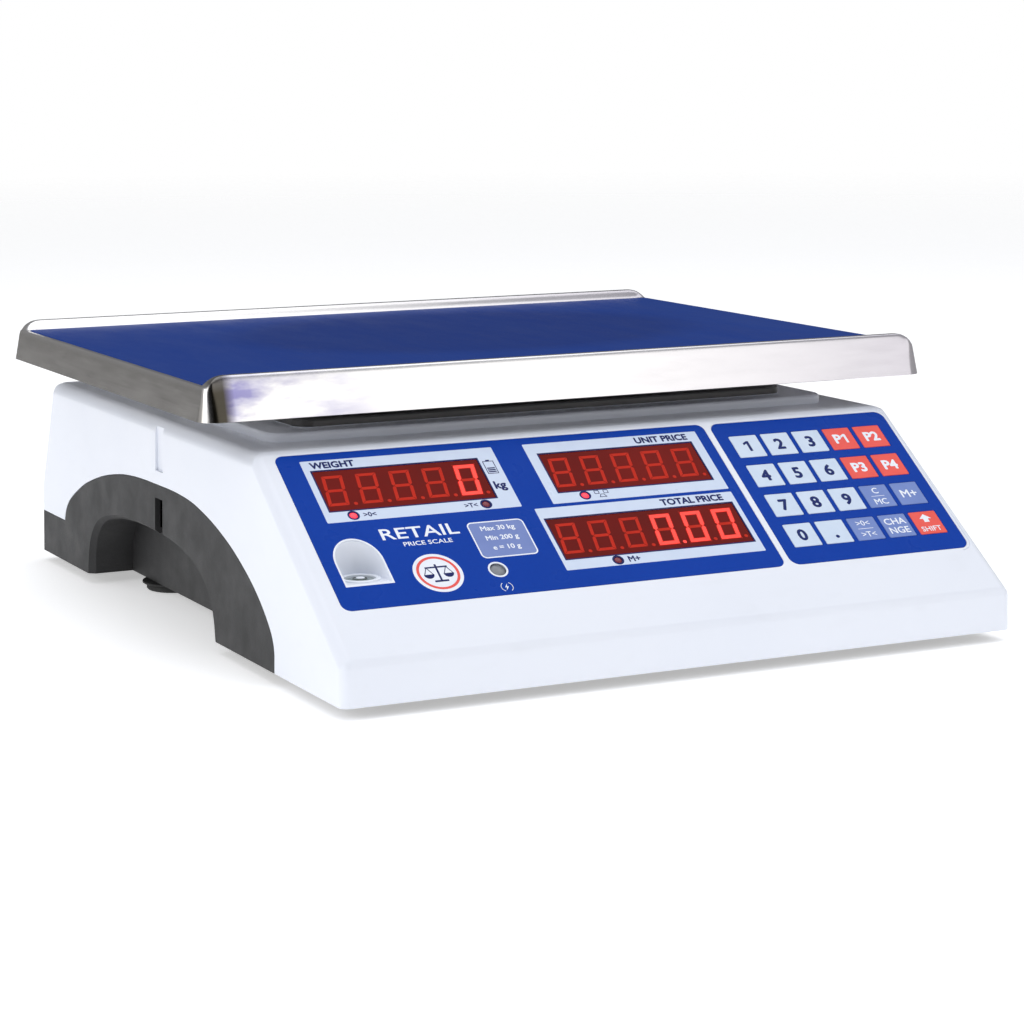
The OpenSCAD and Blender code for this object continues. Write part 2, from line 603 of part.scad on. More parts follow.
upper_housing();
lower_base();
display_overlay();
keypad_overlay();
weight_window();
unit_price_window();
total_price_window();
weight_digits();
unit_price_digits();
total_price_digits();
indicator_lamps();
display_board();
keypad_membrane();
spirit_level();
key_1();
key_2();
key_3();
key_p1();
key_p2();
key_4();
key_5();
key_6();
key_p3();
key_p4();
key_7();
key_8();
key_9();
key_clear();
key_memory();
key_0();
key_point();
key_zero();
key_change();
key_shift();
weighing_pan();
pan_film();
pan_carrier();
carrier_pads();
carrier_bolts();
load_cell();
load_cell_pedestal();
load_cell_bolts();
chassis_plate();
overload_stop();
main_board();
power_supply();
battery();
battery_cover();
housing_screws();
power_inlet();
switch_frame();
power_rocker();
foot_front_left();
foot_front_right();
foot_rear_left();
foot_rear_right();
rear_overlay();
rear_windows();
rear_digits();
rear_board();
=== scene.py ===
# Retail price scale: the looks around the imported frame. Lengths inside the helpers are millimetres.
import json
import math

import bmesh
import bpy
from mathutils import Matrix, Vector


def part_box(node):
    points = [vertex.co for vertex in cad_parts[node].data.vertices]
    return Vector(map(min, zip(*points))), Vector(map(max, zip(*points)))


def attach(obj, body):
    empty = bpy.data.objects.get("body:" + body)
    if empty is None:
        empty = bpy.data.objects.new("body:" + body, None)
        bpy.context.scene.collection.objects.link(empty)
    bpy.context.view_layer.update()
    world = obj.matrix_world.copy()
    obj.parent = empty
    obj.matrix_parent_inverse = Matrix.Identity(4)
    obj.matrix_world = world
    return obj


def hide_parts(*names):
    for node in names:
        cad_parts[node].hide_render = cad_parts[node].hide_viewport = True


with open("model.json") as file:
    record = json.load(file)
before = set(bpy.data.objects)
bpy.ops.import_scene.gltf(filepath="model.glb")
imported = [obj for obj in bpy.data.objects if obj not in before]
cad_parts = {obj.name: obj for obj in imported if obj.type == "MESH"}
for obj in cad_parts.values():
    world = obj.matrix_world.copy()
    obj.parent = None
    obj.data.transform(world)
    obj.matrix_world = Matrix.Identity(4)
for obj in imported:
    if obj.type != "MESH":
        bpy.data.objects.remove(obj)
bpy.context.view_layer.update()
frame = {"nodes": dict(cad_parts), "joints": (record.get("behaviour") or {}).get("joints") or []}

MM = 0.001
scene = bpy.context.scene

# ---------------------------------------------------------------- sizes from the frame


def box_mm(node):
    low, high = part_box(node)
    return low / MM, high / MM


base_low, base_high = box_mm("lower_base")
HALF_W, HALF_D = base_high.x, base_high.y
BOTTOM = base_low.z
DRAFT = 2.2                      # each side leans in by this much up to the deck
press = next(j for j in frame["joints"] if j["name"] == "key_1_press")["axis"]
SLOPE = math.atan2(-press[1], press[2])
overlay_low, overlay_high = box_mm("display_overlay")
OVERLAY_UP = 117.0               # top edge of the overlay, up the slope
LIP = overlay_high.z - OVERLAY_UP * math.sin(SLOPE)
DECK = 93.0
REAR_Z, REAR_IN = 40.0, 19.0     # where the rear slope starts, and how far it leans in
WALL = 2.6
pan_low, pan_high = box_mm("weighing_pan")
film_low, film_high = box_mm("pan_film")
PITCH = 15.24                    # digit spacing
SEAM = 0.35                      # gap between the white housing and the dark base

TO_PANEL = Matrix.Translation((-HALF_W, -HALF_D, LIP)) @ Matrix.Rotation(SLOPE, 4, "X")
REAR_ANGLE = math.atan2(DECK - REAR_Z, REAR_IN)
TO_REAR = (Matrix.Translation((0, HALF_D, REAR_Z)) @ Matrix.Rotation(math.pi, 4, "Z")
           @ Matrix.Rotation(REAR_ANGLE, 4, "X"))
FLAT = Matrix.Identity(4)
ALONG_X = Matrix(((0, 0, 1, 0), (1, 0, 0, 0), (0, 1, 0, 0), (0, 0, 0, 1)))   # (y, z, x) -> world

# ---------------------------------------------------------------- mesh helpers


def rectangle(x0, y0, x1, y1):
    return [(x0, y0), (x1, y0), (x1, y1), (x0, y1)]


class Solid:
    """Collects vertices in millimetres and faces, and becomes one object."""

    def __init__(self):
        self.points, self.faces = [], []

    def add(self, points, faces, matrix=FLAT):
        start = len(self.points)
        self.points += [matrix @ Vector(p) for p in points]
        self.faces += [[start + i for i in f] for f in faces]
        return self

    def prism(self, outline, low, high, matrix=FLAT, top=None):
        """An outline, anticlockwise, raised from low to high; top is its outline there."""
        n = len(outline)
        points = [(x, y, low) for x, y in outline] + [(x, y, high) for x, y in (top or outline)]
        sides = [[i, (i + 1) % n, n + (i + 1) % n, n + i] for i in range(n)]
        return self.add(points, [list(range(n))[::-1], list(range(n, 2 * n))] + sides, matrix)

    def ring(self, outer, inner, low, high, matrix=FLAT):
        """The band between two outlines that have the same number of points."""
        n = len(outer)
        points = [(x, y, z) for z in (low, high) for loop in (outer, inner) for x, y in loop]
        faces = []
        for i in range(n):
            j = (i + 1) % n
            faces += [[i, j, 2 * n + j, 2 * n + i], [n + j, n + i, 3 * n + i, 3 * n + j],
                      [2 * n + i, 2 * n + j, 3 * n + j, 3 * n + i], [j, i, n + i, n + j]]
        return self.add(points, faces, matrix)

    def box(self, x0, y0, z0, x1, y1, z1, matrix=FLAT):
        return self.prism(rectangle(x0, y0, x1, y1), z0, z1, matrix)

    def revolve(self, profile, matrix=FLAT, n=64):
        """A closed (radius, height) profile turned about Z; points on the axis are shared."""
        rows = []
        points = []
        for r, z in profile:
            if r < 1e-6:
                rows.append([len(points)] * n)
                points.append((0, 0, z))
            else:
                rows.append([len(points) + i for i in range(n)])
                points += [(r * math.cos(2 * math.pi * i / n), r * math.sin(2 * math.pi * i / n), z)
                           for i in range(n)]
        faces = []
        for a, b in zip(rows, rows[1:]):
            for i in range(n):
                j = (i + 1) % n
                loop = [a[i], a[j], b[j], b[i]]
                faces.append([v for k, v in enumerate(loop) if v != loop[k - 1]])
        return self.add(points, [f for f in faces if len(f) > 2], matrix)

    def mesh(self, name):
        data = bpy.data.meshes.new(name)
        data.from_pydata([p * MM for p in self.points], [], self.faces)
        made = bmesh.new()
        made.from_mesh(data)
        bmesh.ops.recalc_face_normals(made, faces=made.faces)
        made.to_mesh(data)
        made.free()
        return data

    def object(self, name):
        made = bpy.data.objects.new(name, self.mesh(name))
        scene.collection.objects.link(made)
        return made


def baked(obj):
    """Applies the modifiers of obj to its mesh."""
    bpy.context.view_layer.update()
    graph = bpy.context.evaluated_depsgraph_get()
    data = bpy.data.meshes.new_from_object(obj.evaluated_get(graph))
    obj.modifiers.clear()
    obj.data = data
    return obj


def carve(obj, *steps):
    """Boolean steps, each an operation and a Solid or an object; the tools are removed afterwards."""
    for operation, tool in steps:
        cutter = tool.object("cutter") if isinstance(tool, Solid) else tool
        made = obj.modifiers.new("carve", "BOOLEAN")
        made.operation, made.object, made.solver, made.use_self = operation, cutter, "EXACT", True
        baked(obj)
        bpy.data.objects.remove(cutter)
    return obj


def cut(obj, *tools):
    return carve(obj, *(("DIFFERENCE", tool) for tool in tools))


def smooth(obj, angle=32):
    """Smooth shading up to an angle, with flat faces kept flat."""
    clean = bmesh.new()
    clean.from_mesh(obj.data)
    bmesh.ops.remove_doubles(clean, verts=clean.verts, dist=2e-6)
    bmesh.ops.dissolve_degenerate(clean, dist=2e-6, edges=clean.edges)
    clean.to_mesh(obj.data)
    clean.free()
    obj.data.shade_smooth()
    obj.data.set_sharp_from_angle(angle=math.radians(angle))
    weighted = obj.modifiers.new("weighted", "WEIGHTED_NORMAL")
    weighted.keep_sharp = True
    return obj


def paint(obj, material):
    obj.data.materials.clear()
    obj.data.materials.append(material)


def finish_piece(obj, body, material, nodes=()):
    paint(obj, material)
    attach(obj, body)
    if nodes:
        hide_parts(*nodes)
    return obj


def part(solid, name, body, material, nodes=(), angle=32):
    """A Solid or an object made into a finished, smooth shaded piece."""
    made = solid.object(name) if isinstance(solid, Solid) else solid
    made.name = name
    return finish_piece(smooth(made, angle), body, material, nodes)


def arc(cx, cy, r, start, end, n=8):
    return [(cx + r * math.cos(math.radians(start + (end - start) * i / n)),
             cy + r * math.sin(math.radians(start + (end - start) * i / n))) for i in range(n + 1)]


def rounded(x0, y0, x1, y1, r, n=8):
    """A rectangle with round corners, anticlockwise."""
    return (arc(x1 - r, y0 + r, r, -90, 0, n) + arc(x1 - r, y1 - r, r, 0, 90, n)
            + arc(x0 + r, y1 - r, r, 90, 180, n) + arc(x0 + r, y0 + r, r, 180, 270, n))


def circle(cx, cy, r, n=48):
    return [(cx + r * math.cos(2 * math.pi * i / n), cy + r * math.sin(2 * math.pi * i / n))
            for i in range(n)]


def grown(outline, d):
    """Every edge of an anticlockwise outline moved outwards by d."""
    n = len(outline)
    out = []
    for i in range(n):
        a, b, c = (Vector(outline[(i + k) % n]) for k in (-1, 0, 1))
        p, q = (b - a).normalized(), (c - b).normalized()
        m, k = Vector((p.y, -p.x)), Vector((q.y, -q.x))
        out.append(tuple(b + d * (m + k) / (1 + m.dot(k))))
    return out


def upright(x, y):
    return Matrix.Translation((x, y, 0))


def curve_through(points, steps=5):
    """A smooth open curve through the points, weighted evenly."""
    out = []
    for i in range(len(points) - 1):
        p0 = Vector(points[max(i - 1, 0)])
        p1, p2 = Vector(points[i]), Vector(points[i + 1])
        p3 = Vector(points[min(i + 2, len(points) - 1)])
        for k in range(steps):
            t = k / steps
            out.append(tuple(0.5 * ((2 * p1) + (p2 - p0) * t + (2 * p0 - 5 * p1 + 4 * p2 - p3) * t * t
                                    + (3 * p1 - p0 - 3 * p2 + p3) * t ** 3)))
    return out + [tuple(points[-1])]


def lettering(solid, text, x, y, height, low, matrix=TO_PANEL, align="CENTER", bold=0.0,
              wide=1.0, thick=0.03):
    """Adds flat raised text, standing on low; x, y is its baseline point, height its capitals.
    Bold text is written several times, each a little aside."""
    curve = bpy.data.curves.new("text", "FONT")
    curve.body, curve.align_x = text, align
    curve.size = height / 0.7
    curve.extrude = thick / 2
    curve.resolution_u = 3
    holder = bpy.data.objects.new("text", curve)
    scene.collection.objects.link(holder)
    bpy.context.view_layer.update()
    data = bpy.data.meshes.new_from_object(holder.evaluated_get(bpy.context.evaluated_depsgraph_get()))
    reach, lift = bold * height, 0.002
    for k in range(8 if bold else 1):
        dx, dy = math.cos(k * math.pi / 4) * reach, math.sin(k * math.pi / 4) * reach
        points = [(x + v.co.x * wide + dx, y + v.co.y + dy, low + thick / 2 + v.co.z + lift * k)
                  for v in data.vertices]
        solid.add(points, [list(f.vertices) for f in data.polygons], matrix)
    bpy.data.objects.remove(holder)
    bpy.data.curves.remove(curve)
    bpy.data.meshes.remove(data)


def figure_one(solid, x, y, height, low, matrix=TO_PANEL):
    """A 1 with a flag; x is the middle of its stem and y its foot."""
    shape = [(-0.11, 0), (0.11, 0), (0.11, 1), (-0.06, 1), (-0.38, 0.82), (-0.38, 0.6), (-0.11, 0.77)]
    solid.prism([(x + a * height, y + b * height) for a, b in shape], low, low + 0.03, matrix)


def levels(solid, outline, steps, matrix=FLAT):
    """A prism whose outline is grown by a different amount at each height: (height, growth)."""
    n = len(outline)
    points = [(x, y, z) for z, g in steps for x, y in (grown(outline, g) if g else outline)]
    faces = [list(range(n))[::-1], [n * (len(steps) - 1) + i for i in range(n)]]
    for k in range(len(steps) - 1):
        faces += [[k * n + i, k * n + (i + 1) % n, (k + 1) * n + (i + 1) % n, (k + 1) * n + i]
                  for i in range(n)]
    return solid.add(points, faces, matrix)


# ---------------------------------------------------------------- materials


def srgb(r, g, b):
    """Screen colour, 0 to 255, as the linear colour that the shader takes."""
    return tuple((c / 255 / 12.92 if c <= 10 else ((c / 255 + 0.055) / 1.055) ** 2.4)
                 for c in (r, g, b)) + (1.0,)


class Finish:
    """A Principled material with procedural variation in metres of the row frame."""

    def __init__(self, name, colour, roughness, **sockets):
        self.material = bpy.data.materials.new(name)
        self.material.use_nodes = True
        self.tree = self.material.node_tree
        self.shader = self.tree.nodes["Principled BSDF"]
        self.shader.inputs["Base Color"].default_value = colour
        self.shader.inputs["Roughness"].default_value = roughness
        for key, value in sockets.items():
            self.shader.inputs[key.replace("_", " ")].default_value = value
        self.colour, self.roughness = colour, roughness
        self.height = None
        self.tint = None

    def node(self, kind, **values):
        made = self.tree.nodes.new(kind)
        for key, value in values.items():
            setattr(made, key, value)
        return made

    def link(self, a, b):
        self.tree.links.new(a, b)

    def where(self):
        return self.node("ShaderNodeTexCoord").outputs["Object"]

    def along(self, axis):
        parts = self.node("ShaderNodeSeparateXYZ")
        self.link(self.where(), parts.inputs["Vector"])
        return parts.outputs[axis]

    def noise(self, scale, detail=3.0, stretch=(1, 1, 1), rough=0.55, turn=0.0):
        """Noise with scale features to the metre."""
        mapping = self.node("ShaderNodeMapping")
        mapping.inputs["Scale"].default_value = stretch
        mapping.inputs["Rotation"].default_value = (0, 0, turn)
        self.link(self.where(), mapping.inputs["Vector"])
        made = self.node("ShaderNodeTexNoise")
        made.inputs["Scale"].default_value = scale
        made.inputs["Detail"].default_value = detail
        made.inputs["Roughness"].default_value = rough
        self.link(mapping.outputs["Vector"], made.inputs["Vector"])
        return made.outputs["Fac"]

    def ramp(self, value, stops):
        made = self.node("ShaderNodeValToRGB")
        while len(made.color_ramp.elements) < len(stops):
            made.color_ramp.elements.new(0.5)
        for element, (place, colour) in zip(made.color_ramp.elements, stops):
            element.position = place
            element.color = colour if len(colour) == 4 else (*colour, 1)
        self.link(value, made.inputs["Fac"])
        return made.outputs["Color"]

    def spread(self, value, low, high, to_low, to_high):
        made = self.node("ShaderNodeMapRange")
        for key, number in (("From Min", low), ("From Max", high), ("To Min", to_low),
                            ("To Max", to_high)):
            made.inputs[key].default_value = number
        self.link(value, made.inputs["Value"])
        return made.outputs["Result"]

    def mix_colour(self, share, colour):
        """Blends a colour over what is there, by a 0 to 1 value."""
        made = self.node("ShaderNodeMix", data_type="RGBA")
        self.link(share, made.inputs["Factor"])
        made.inputs[6].default_value, made.inputs[7].default_value = self.colour, colour
        if self.tint is not None:
            self.link(self.tint, made.inputs[6])
        self.tint = made.outputs[2]
        self.link(self.tint, self.shader.inputs["Base Color"])
        return self

    def patches(self, low, high, share, colour, *noise, **turned):
        """Blends a colour in where the noise rises from low to high, up to a share."""
        return self.mix_colour(self.spread(self.noise(*noise, **turned), low, high, 0.0, share), colour)

    def emit(self, colour, strength):
        self.shader.inputs["Emission Color"].default_value = colour
        self.shader.inputs["Emission Strength"].default_value = strength

    def vary_roughness(self, value, low, high):
        self.link(self.spread(value, 0.3, 0.7, low, high), self.shader.inputs["Roughness"])
        return self

    def bump(self, value, distance, strength=1.0):
        made = self.node("ShaderNodeBump")
        made.inputs["Distance"].default_value = distance
        made.inputs["Strength"].default_value = strength
        self.link(value, made.inputs["Height"])
        if self.height is not None:
            self.link(self.height, made.inputs["Normal"])
        self.height = made.outputs["Normal"]
        self.link(self.height, self.shader.inputs["Normal"])
        return self


def place_value(finish, axis, low, high):
    """0 to 1 along an axis of the row frame, between two places in millimetres."""
    return finish.spread(finish.along(axis), low * MM, high * MM, 0.0, 1.0)


def white_plastic():
    f = Finish("white_plastic", srgb(234, 238, 247), 0.36, Coat_Weight=0.1, Coat_Roughness=0.3)
    f.patches(0.45, 0.75, 0.35, srgb(227, 232, 244), 9, 4)
    f.patches(0.58, 0.85, 0.2, srgb(214, 217, 222), 38, 5, (1, 1, 2.2))
    # painted shade: the upper step of the deck, under the pan, is darkened as if in the pan's shadow
    f.mix_colour(place_value(f, "Z", 97.1, 97.4), srgb(66, 65, 64))
    f.vary_roughness(f.noise(30, 4), 0.29, 0.4)
    f.bump(f.noise(2600, 2), 0.00002, 0.35)
    f.bump(f.noise(160, 2), 0.00004, 0.25)
    return f.material


def dark_plastic():
    f = Finish("dark_plastic", srgb(46, 46, 47), 0.55, Specular_IOR_Level=0.35)
    f.patches(0.42, 0.78, 0.5, srgb(37, 37, 37), 24, 5)
    f.patches(0.52, 0.8, 0.6, srgb(57, 57, 59), 1400, 2)
    f.vary_roughness(f.noise(60, 4), 0.48, 0.63)
    f.bump(f.noise(1500, 3), 0.00012, 0.55)
    return f.material


def blue_print():
    f = Finish("blue_print", srgb(6, 60, 160), 0.38, Specular_IOR_Level=0.05)
    f.patches(0.4, 0.75, 0.5, srgb(12, 64, 170), 14, 3)
    f.patches(0.5, 0.8, 0.3, srgb(6, 50, 146), 500, 4)
    f.vary_roughness(f.noise(45, 3), 0.24, 0.36)
    f.bump(f.noise(1800, 2), 0.00002, 0.4)
    return f.material


def print_colour(name, colour, second, roughness=0.32, **sockets):
    """Printed ink with slight mottling."""
    f = Finish(name, colour, roughness, **sockets)
    f.patches(0.4, 0.8, 0.6, second, 120, 4)
    f.vary_roughness(f.noise(60, 3), roughness - 0.05, roughness + 0.06)
    f.bump(f.noise(1800, 2), 0.00002, 0.3)
    return f.material


def protective_film():
    f = Finish("protective_film", srgb(18, 55, 132), 0.5, Specular_IOR_Level=0.06)
    f.patches(0.42, 0.72, 0.4, srgb(30, 64, 138), 26, 6, (1, 0.22, 1), turn=0.5)
    # a darker oval near the middle
    mapping = f.node("ShaderNodeMapping")
    mapping.inputs["Scale"].default_value = (1 / 0.118, 1 / 0.09, 0)
    mapping.inputs["Location"].default_value = (-0.1, -0.6, 0)
    f.link(f.where(), mapping.inputs["Vector"])
    length = f.node("ShaderNodeVectorMath", operation="LENGTH")
    f.link(mapping.outputs["Vector"], length.inputs[0])
    f.mix_colour(f.spread(length.outputs["Value"], 1.08, 0.86, 0.0, 0.5), srgb(14, 42, 108))
    f.patches(0.62, 0.85, 0.4, srgb(52, 84, 154), 900, 4, (1, 0.12, 1), turn=-0.9)
    f.vary_roughness(f.noise(50, 5, (1, 0.3, 1)), 0.4, 0.5)
    f.bump(f.noise(22, 3), 0.0006, 0.07)
    f.bump(f.noise(700, 3), 0.00004, 0.4)
    return f.material


def stainless():
    f = Finish("stainless", srgb(222, 220, 219), 0.2, Metallic=1.0)
    f.patches(0.45, 0.8, 0.4, srgb(200, 198, 197), 26, 3, (0.35, 0.35, 3))
    # painted reflection: the steel darkens and turns slightly lavender towards +X
    f.mix_colour(f.spread(place_value(f, "X", -30, 170), 0.0, 1.0, 0.0, 0.9), srgb(180, 176, 182))
    # painted shade: the upright ends are darker than the polished front, as they reflect less light
    aside = f.node("ShaderNodeMath", operation="ABSOLUTE")
    f.link(f.along("X"), aside.inputs[0])
    f.mix_colour(f.spread(aside.outputs[0], 0.1757, 0.1767, 0.0, 1.0), srgb(182, 179, 175))
    # painted reflections beside the front corners, where the polished sheet mirrors the room: lavender smears
    # and a dark band
    front = f.spread(place_value(f, "Y", -94, -82), 0.0, 1.0, 1.0, 0.0)

    def near_front(low, high, stops):
        made = f.node("ShaderNodeMath", operation="MULTIPLY")
        f.link(f.ramp(place_value(f, "X", low, high), [(at, (v, v, v)) for at, v in stops]), made.inputs[0])
        f.link(front, made.inputs[1])
        return made.outputs[0]

    reflection_smear = f.node("ShaderNodeMath", operation="MULTIPLY")
    f.link(near_front(-176, -92, [(0, 0), (0.1, 1), (0.45, 0.8), (1, 0)]), reflection_smear.inputs[0])
    f.link(f.spread(f.noise(42, 6, (0.6, 1, 1.9)), 0.42, 0.62, 0.0, 1.0), reflection_smear.inputs[1])
    f.mix_colour(reflection_smear.outputs[0], srgb(132, 128, 172))
    # painted reflection: a dark olive band beside the left front corner
    f.mix_colour(near_front(-175.5, -163.5, [(0, 0), (0.18, 1), (0.6, 1), (1, 0)]), srgb(70, 66, 58))
    f.vary_roughness(f.noise(70, 6, (0.5, 0.5, 3)), 0.16, 0.26)
    f.bump(f.noise(420, 5, (0.05, 0.05, 2.4)), 0.00005, 0.3)
    f.bump(f.noise(26, 3, (0.6, 1, 1)), 0.0006, 0.1)
    return f.material


def filter_red():
    f = Finish("filter_red", srgb(108, 20, 15), 0.22, Specular_IOR_Level=0.04)
    f.patches(0.4, 0.7, 0.7, srgb(94, 20, 16), 34, 3)
    f.patches(0.5, 0.7, 0.5, srgb(134, 26, 18), 10, 2)
    f.vary_roughness(f.noise(90, 3), 0.13, 0.22)
    return f.material


def glow(name, colour, light, strength):
    f = Finish(name, colour, 0.35)
    f.emit(light, strength)
    f.patches(0.45, 0.8, 0.5, tuple(c * 0.8 for c in colour[:3]) + (1,), 220, 3)
    return f.material


def rubber():
    f = Finish("rubber", srgb(30, 30, 30), 0.7)
    f.patches(0.45, 0.8, 0.6, srgb(52, 51, 49), 180, 4)
    f.bump(f.noise(1600, 3), 0.0001, 0.5)
    return f.material


def cast_metal():
    f = Finish("cast_metal", srgb(178, 180, 184), 0.45, Metallic=1.0)
    f.patches(0.45, 0.8, 0.6, srgb(146, 148, 152), 70, 5)
    f.vary_roughness(f.noise(110, 5), 0.36, 0.58)
    f.bump(f.noise(900, 4), 0.00015, 0.5)
    return f.material


def machined_metal():
    f = Finish("machined_metal", srgb(206, 208, 211), 0.26, Metallic=1.0)
    f.patches(0.45, 0.8, 0.4, srgb(184, 186, 190), 50, 4)
    f.vary_roughness(f.noise(900, 3, (0.04, 1, 1)), 0.2, 0.36)
    f.bump(f.noise(900, 3, (0.04, 1, 1)), 0.00003, 0.5)
    return f.material


def zinc():
    f = Finish("zinc", srgb(196, 196, 190), 0.32, Metallic=1.0)
    f.patches(0.42, 0.75, 0.6, srgb(172, 176, 182), 220, 4)
    f.vary_roughness(f.noise(260, 4), 0.25, 0.42)
    f.bump(f.noise(1200, 2), 0.00004, 0.4)
    return f.material


def circuit_green():
    f = Finish("circuit_green", srgb(22, 92, 52), 0.35, Coat_Weight=0.3, Coat_Roughness=0.2)
    track = f.noise(420, 1, (1, 1, 1))
    f.mix_colour(f.spread(track, 0.52, 0.54, 0.0, 0.55), srgb(34, 116, 66))
    f.patches(0.7, 0.72, 0.8, srgb(176, 170, 140), 900, 0)
    f.bump(track, 0.00005, 0.5)
    return f.material


def level_fluid():
    f = Finish("level_fluid", srgb(158, 174, 172), 0.08, Transmission_Weight=0.5, IOR=1.45)
    f.patches(0.4, 0.8, 0.5, srgb(138, 156, 158), 160, 2)
    return f.material


WHITE = white_plastic()
DARK = dark_plastic()
BLUE = blue_print()
FILM = protective_film()
STEEL = stainless()
RED = filter_red()
PALE = print_colour("pale_ink", srgb(206, 219, 240), srgb(198, 211, 234))
NAVY = print_colour("navy_ink", srgb(16, 28, 92), srgb(24, 38, 104), Specular_IOR_Level=0.12)
KEY_PALE = print_colour("key_pale", srgb(206, 221, 240), srgb(196, 213, 235), 0.36, Coat_Weight=0.1)
KEY_CORAL = print_colour("key_coral", srgb(238, 70, 54), srgb(228, 62, 48), 0.36, Coat_Weight=0.1)
KEY_SLATE = print_colour("key_slate", srgb(104, 130, 196), srgb(96, 122, 188), 0.36, Coat_Weight=0.1)
KEY_INK = print_colour("key_ink", srgb(14, 34, 100), srgb(22, 42, 110), Specular_IOR_Level=0.12)
INK_WHITE = print_colour("white_ink", srgb(238, 242, 250), srgb(226, 233, 245))
INK_CORAL = print_colour("coral_ink", srgb(232, 64, 52), srgb(224, 58, 46))
SLATE_INK = print_colour("slate_ink", srgb(104, 126, 190), srgb(96, 118, 182))
UNLIT = print_colour("unlit_segment", srgb(196, 46, 30), srgb(182, 38, 25), 0.3, Specular_IOR_Level=0.04)
LIT = glow("lit_segment", srgb(200, 44, 30), srgb(255, 44, 28), 0.9)
HALO = print_colour("halo", srgb(184, 38, 26), srgb(166, 32, 22), 0.3, Specular_IOR_Level=0.04)
LAMP_ON = glow("lamp_on", srgb(255, 70, 84), srgb(255, 50, 70), 0.75)
LAMP_OFF = print_colour("lamp_off", srgb(122, 36, 50), srgb(104, 30, 44), 0.25)
GREY_LENS = print_colour("grey_lens", srgb(130, 134, 140), srgb(96, 98, 104), 0.15)
RUBBER = rubber()
CAST = cast_metal()
MACHINED = machined_metal()
ZINC = zinc()
BOARD = circuit_green()
VIAL = level_fluid()
BLACK = print_colour("black_plastic", srgb(30, 30, 31), srgb(40, 40, 42), 0.4)

# ---------------------------------------------------------------- camera


def photo_camera():
    data = bpy.data.cameras.new("camera")
    data.sensor_width, data.lens = 36.0, 98.24
    data.clip_start, data.clip_end = 0.05, 200.0
    yaw, pitch, roll = math.radians(26.551), math.radians(9.798), -0.0045
    ahead = Vector((math.sin(yaw) * math.cos(pitch), math.cos(yaw) * math.cos(pitch), -math.sin(pitch)))
    right = Vector((math.cos(yaw), -math.sin(yaw), 0))
    up = right.cross(ahead)
    x_axis = right * math.cos(roll) + up * math.sin(roll)
    y_axis = up * math.cos(roll) - right * math.sin(roll)
    camera = bpy.data.objects.new("camera", data)
    scene.collection.objects.link(camera)
    place = Vector((-0.574254, -1.173020, 0.266184))
    camera.matrix_world = Matrix((
        (x_axis.x, y_axis.x, -ahead.x, place.x), (x_axis.y, y_axis.y, -ahead.y, place.y),
        (x_axis.z, y_axis.z, -ahead.z, place.z), (0, 0, 0, 1)))
    scene.camera = camera


photo_camera()

# ---------------------------------------------------------------- housing forms


def body_form(shrink=0.0, floor=None):
    """The wedge of the housing with rounded edges; shrink moves every face but the floor inwards."""
    s = shrink
    low = BOTTOM if floor is None else floor
    front, back = -HALF_D + s, HALF_D - s
    lip = LIP - s * math.tan(SLOPE / 2)
    deck = DECK - s
    deck_y = -HALF_D + (DECK - LIP) / math.tan(SLOPE) + s * math.tan(SLOPE / 2)
    lean = math.atan2(REAR_IN, DECK - REAR_Z)
    rear_foot = REAR_Z - s * math.tan(lean / 2)
    rear_top = HALF_D - REAR_IN - s * math.tan(math.radians(45) - lean / 2)
    profile = [(front, low), (back, low), (back, rear_foot), (rear_top, deck), (deck_y, deck), (front, lip)]
    points = [(side * (HALF_W - s - DRAFT * (z - BOTTOM) / (DECK - BOTTOM)), y, z)
              for side in (-1, 1) for y, z in profile]
    n = len(profile)
    faces = [list(range(n))[::-1], list(range(n, 2 * n))]
    faces += [[i, (i + 1) % n, n + (i + 1) % n, n + i] for i in range(n)]
    made = Solid().add(points, faces).object("form")
    # bevel offset of each edge, by the pair of profile corners that it joins
    along = {0: 0, 1: 0, 2: 2.1, 3: 4.2, 4: 2.6, 5: 2.7}        # edges that run across, at a corner
    round_side = {(1, 2): 4, (2, 3): 4, (3, 4): 6.2, (4, 5): 4.8, (0, 5): 4, (0, 1): 0}
    weights = made.data.attributes.new("bevel_weight_edge", "FLOAT", "EDGE")
    widest = 6.2
    for edge in made.data.edges:
        a, b = sorted(edge.vertices)
        if b - a == n:
            offset = along[a]
        else:
            offset = round_side[tuple(sorted((a % n, b % n)))]
        offset = max(offset - s * (1 if offset > 3 else 0.4), 0.6) if offset else 0
        weights.data[edge.index].value = offset / widest
    bevel = made.modifiers.new("bevel", "BEVEL")
    bevel.limit_method, bevel.width, bevel.segments = "WEIGHT", widest * MM, 7
    bevel.use_clamp_overlap = False
    return baked(made)


# parting curve of the dark side panels and outline of the hand hold, as (Y, Z)
PARTING = [(-124, 12.5), (-122.8, 17), (-119, 22.5), (-110, 30.5), (-99, 37.8), (-87, 44), (-75.5, 49),
           (-64, 53), (-51.5, 56.6), (-39, 59.4), (-26, 61.6), (-12, 62.7), (2, 63.1), (25, 63),
           (39, 62.8), (53, 62.2), (67, 61), (81, 59), (96, 56.2), (111, 52.4), (124, 48.4),
           (135, 43.8), (144, 39.4), (150, 35.6), (154, 31.5), (155.8, 27.5), (156.3, 25.4)]
HOLD = [(117.2, 8), (116.6, 13), (115.4, 18.5), (113, 23.5), (109, 28), (103.5, 31.8), (96, 34.8),
        (87, 37), (77, 38.6), (65, 39.8), (51, 40.5), (37, 40.6), (23, 40.3), (9, 39.6), (-5, 38.3),
        (-17, 36.4), (-27, 34), (-35, 30.8), (-41.5, 27), (-46.5, 22.5), (-49.8, 17.5), (-51.8, 12),
        (-53, 6)]
SIDE_PANEL = ([(-124, -15), (HALF_D + 10, -15), (HALF_D + 10, 25.4)] + curve_through(PARTING)[::-1])
HOLD_OUTLINE = [(-56.4, -5), (117.2, -5)] + curve_through(HOLD)
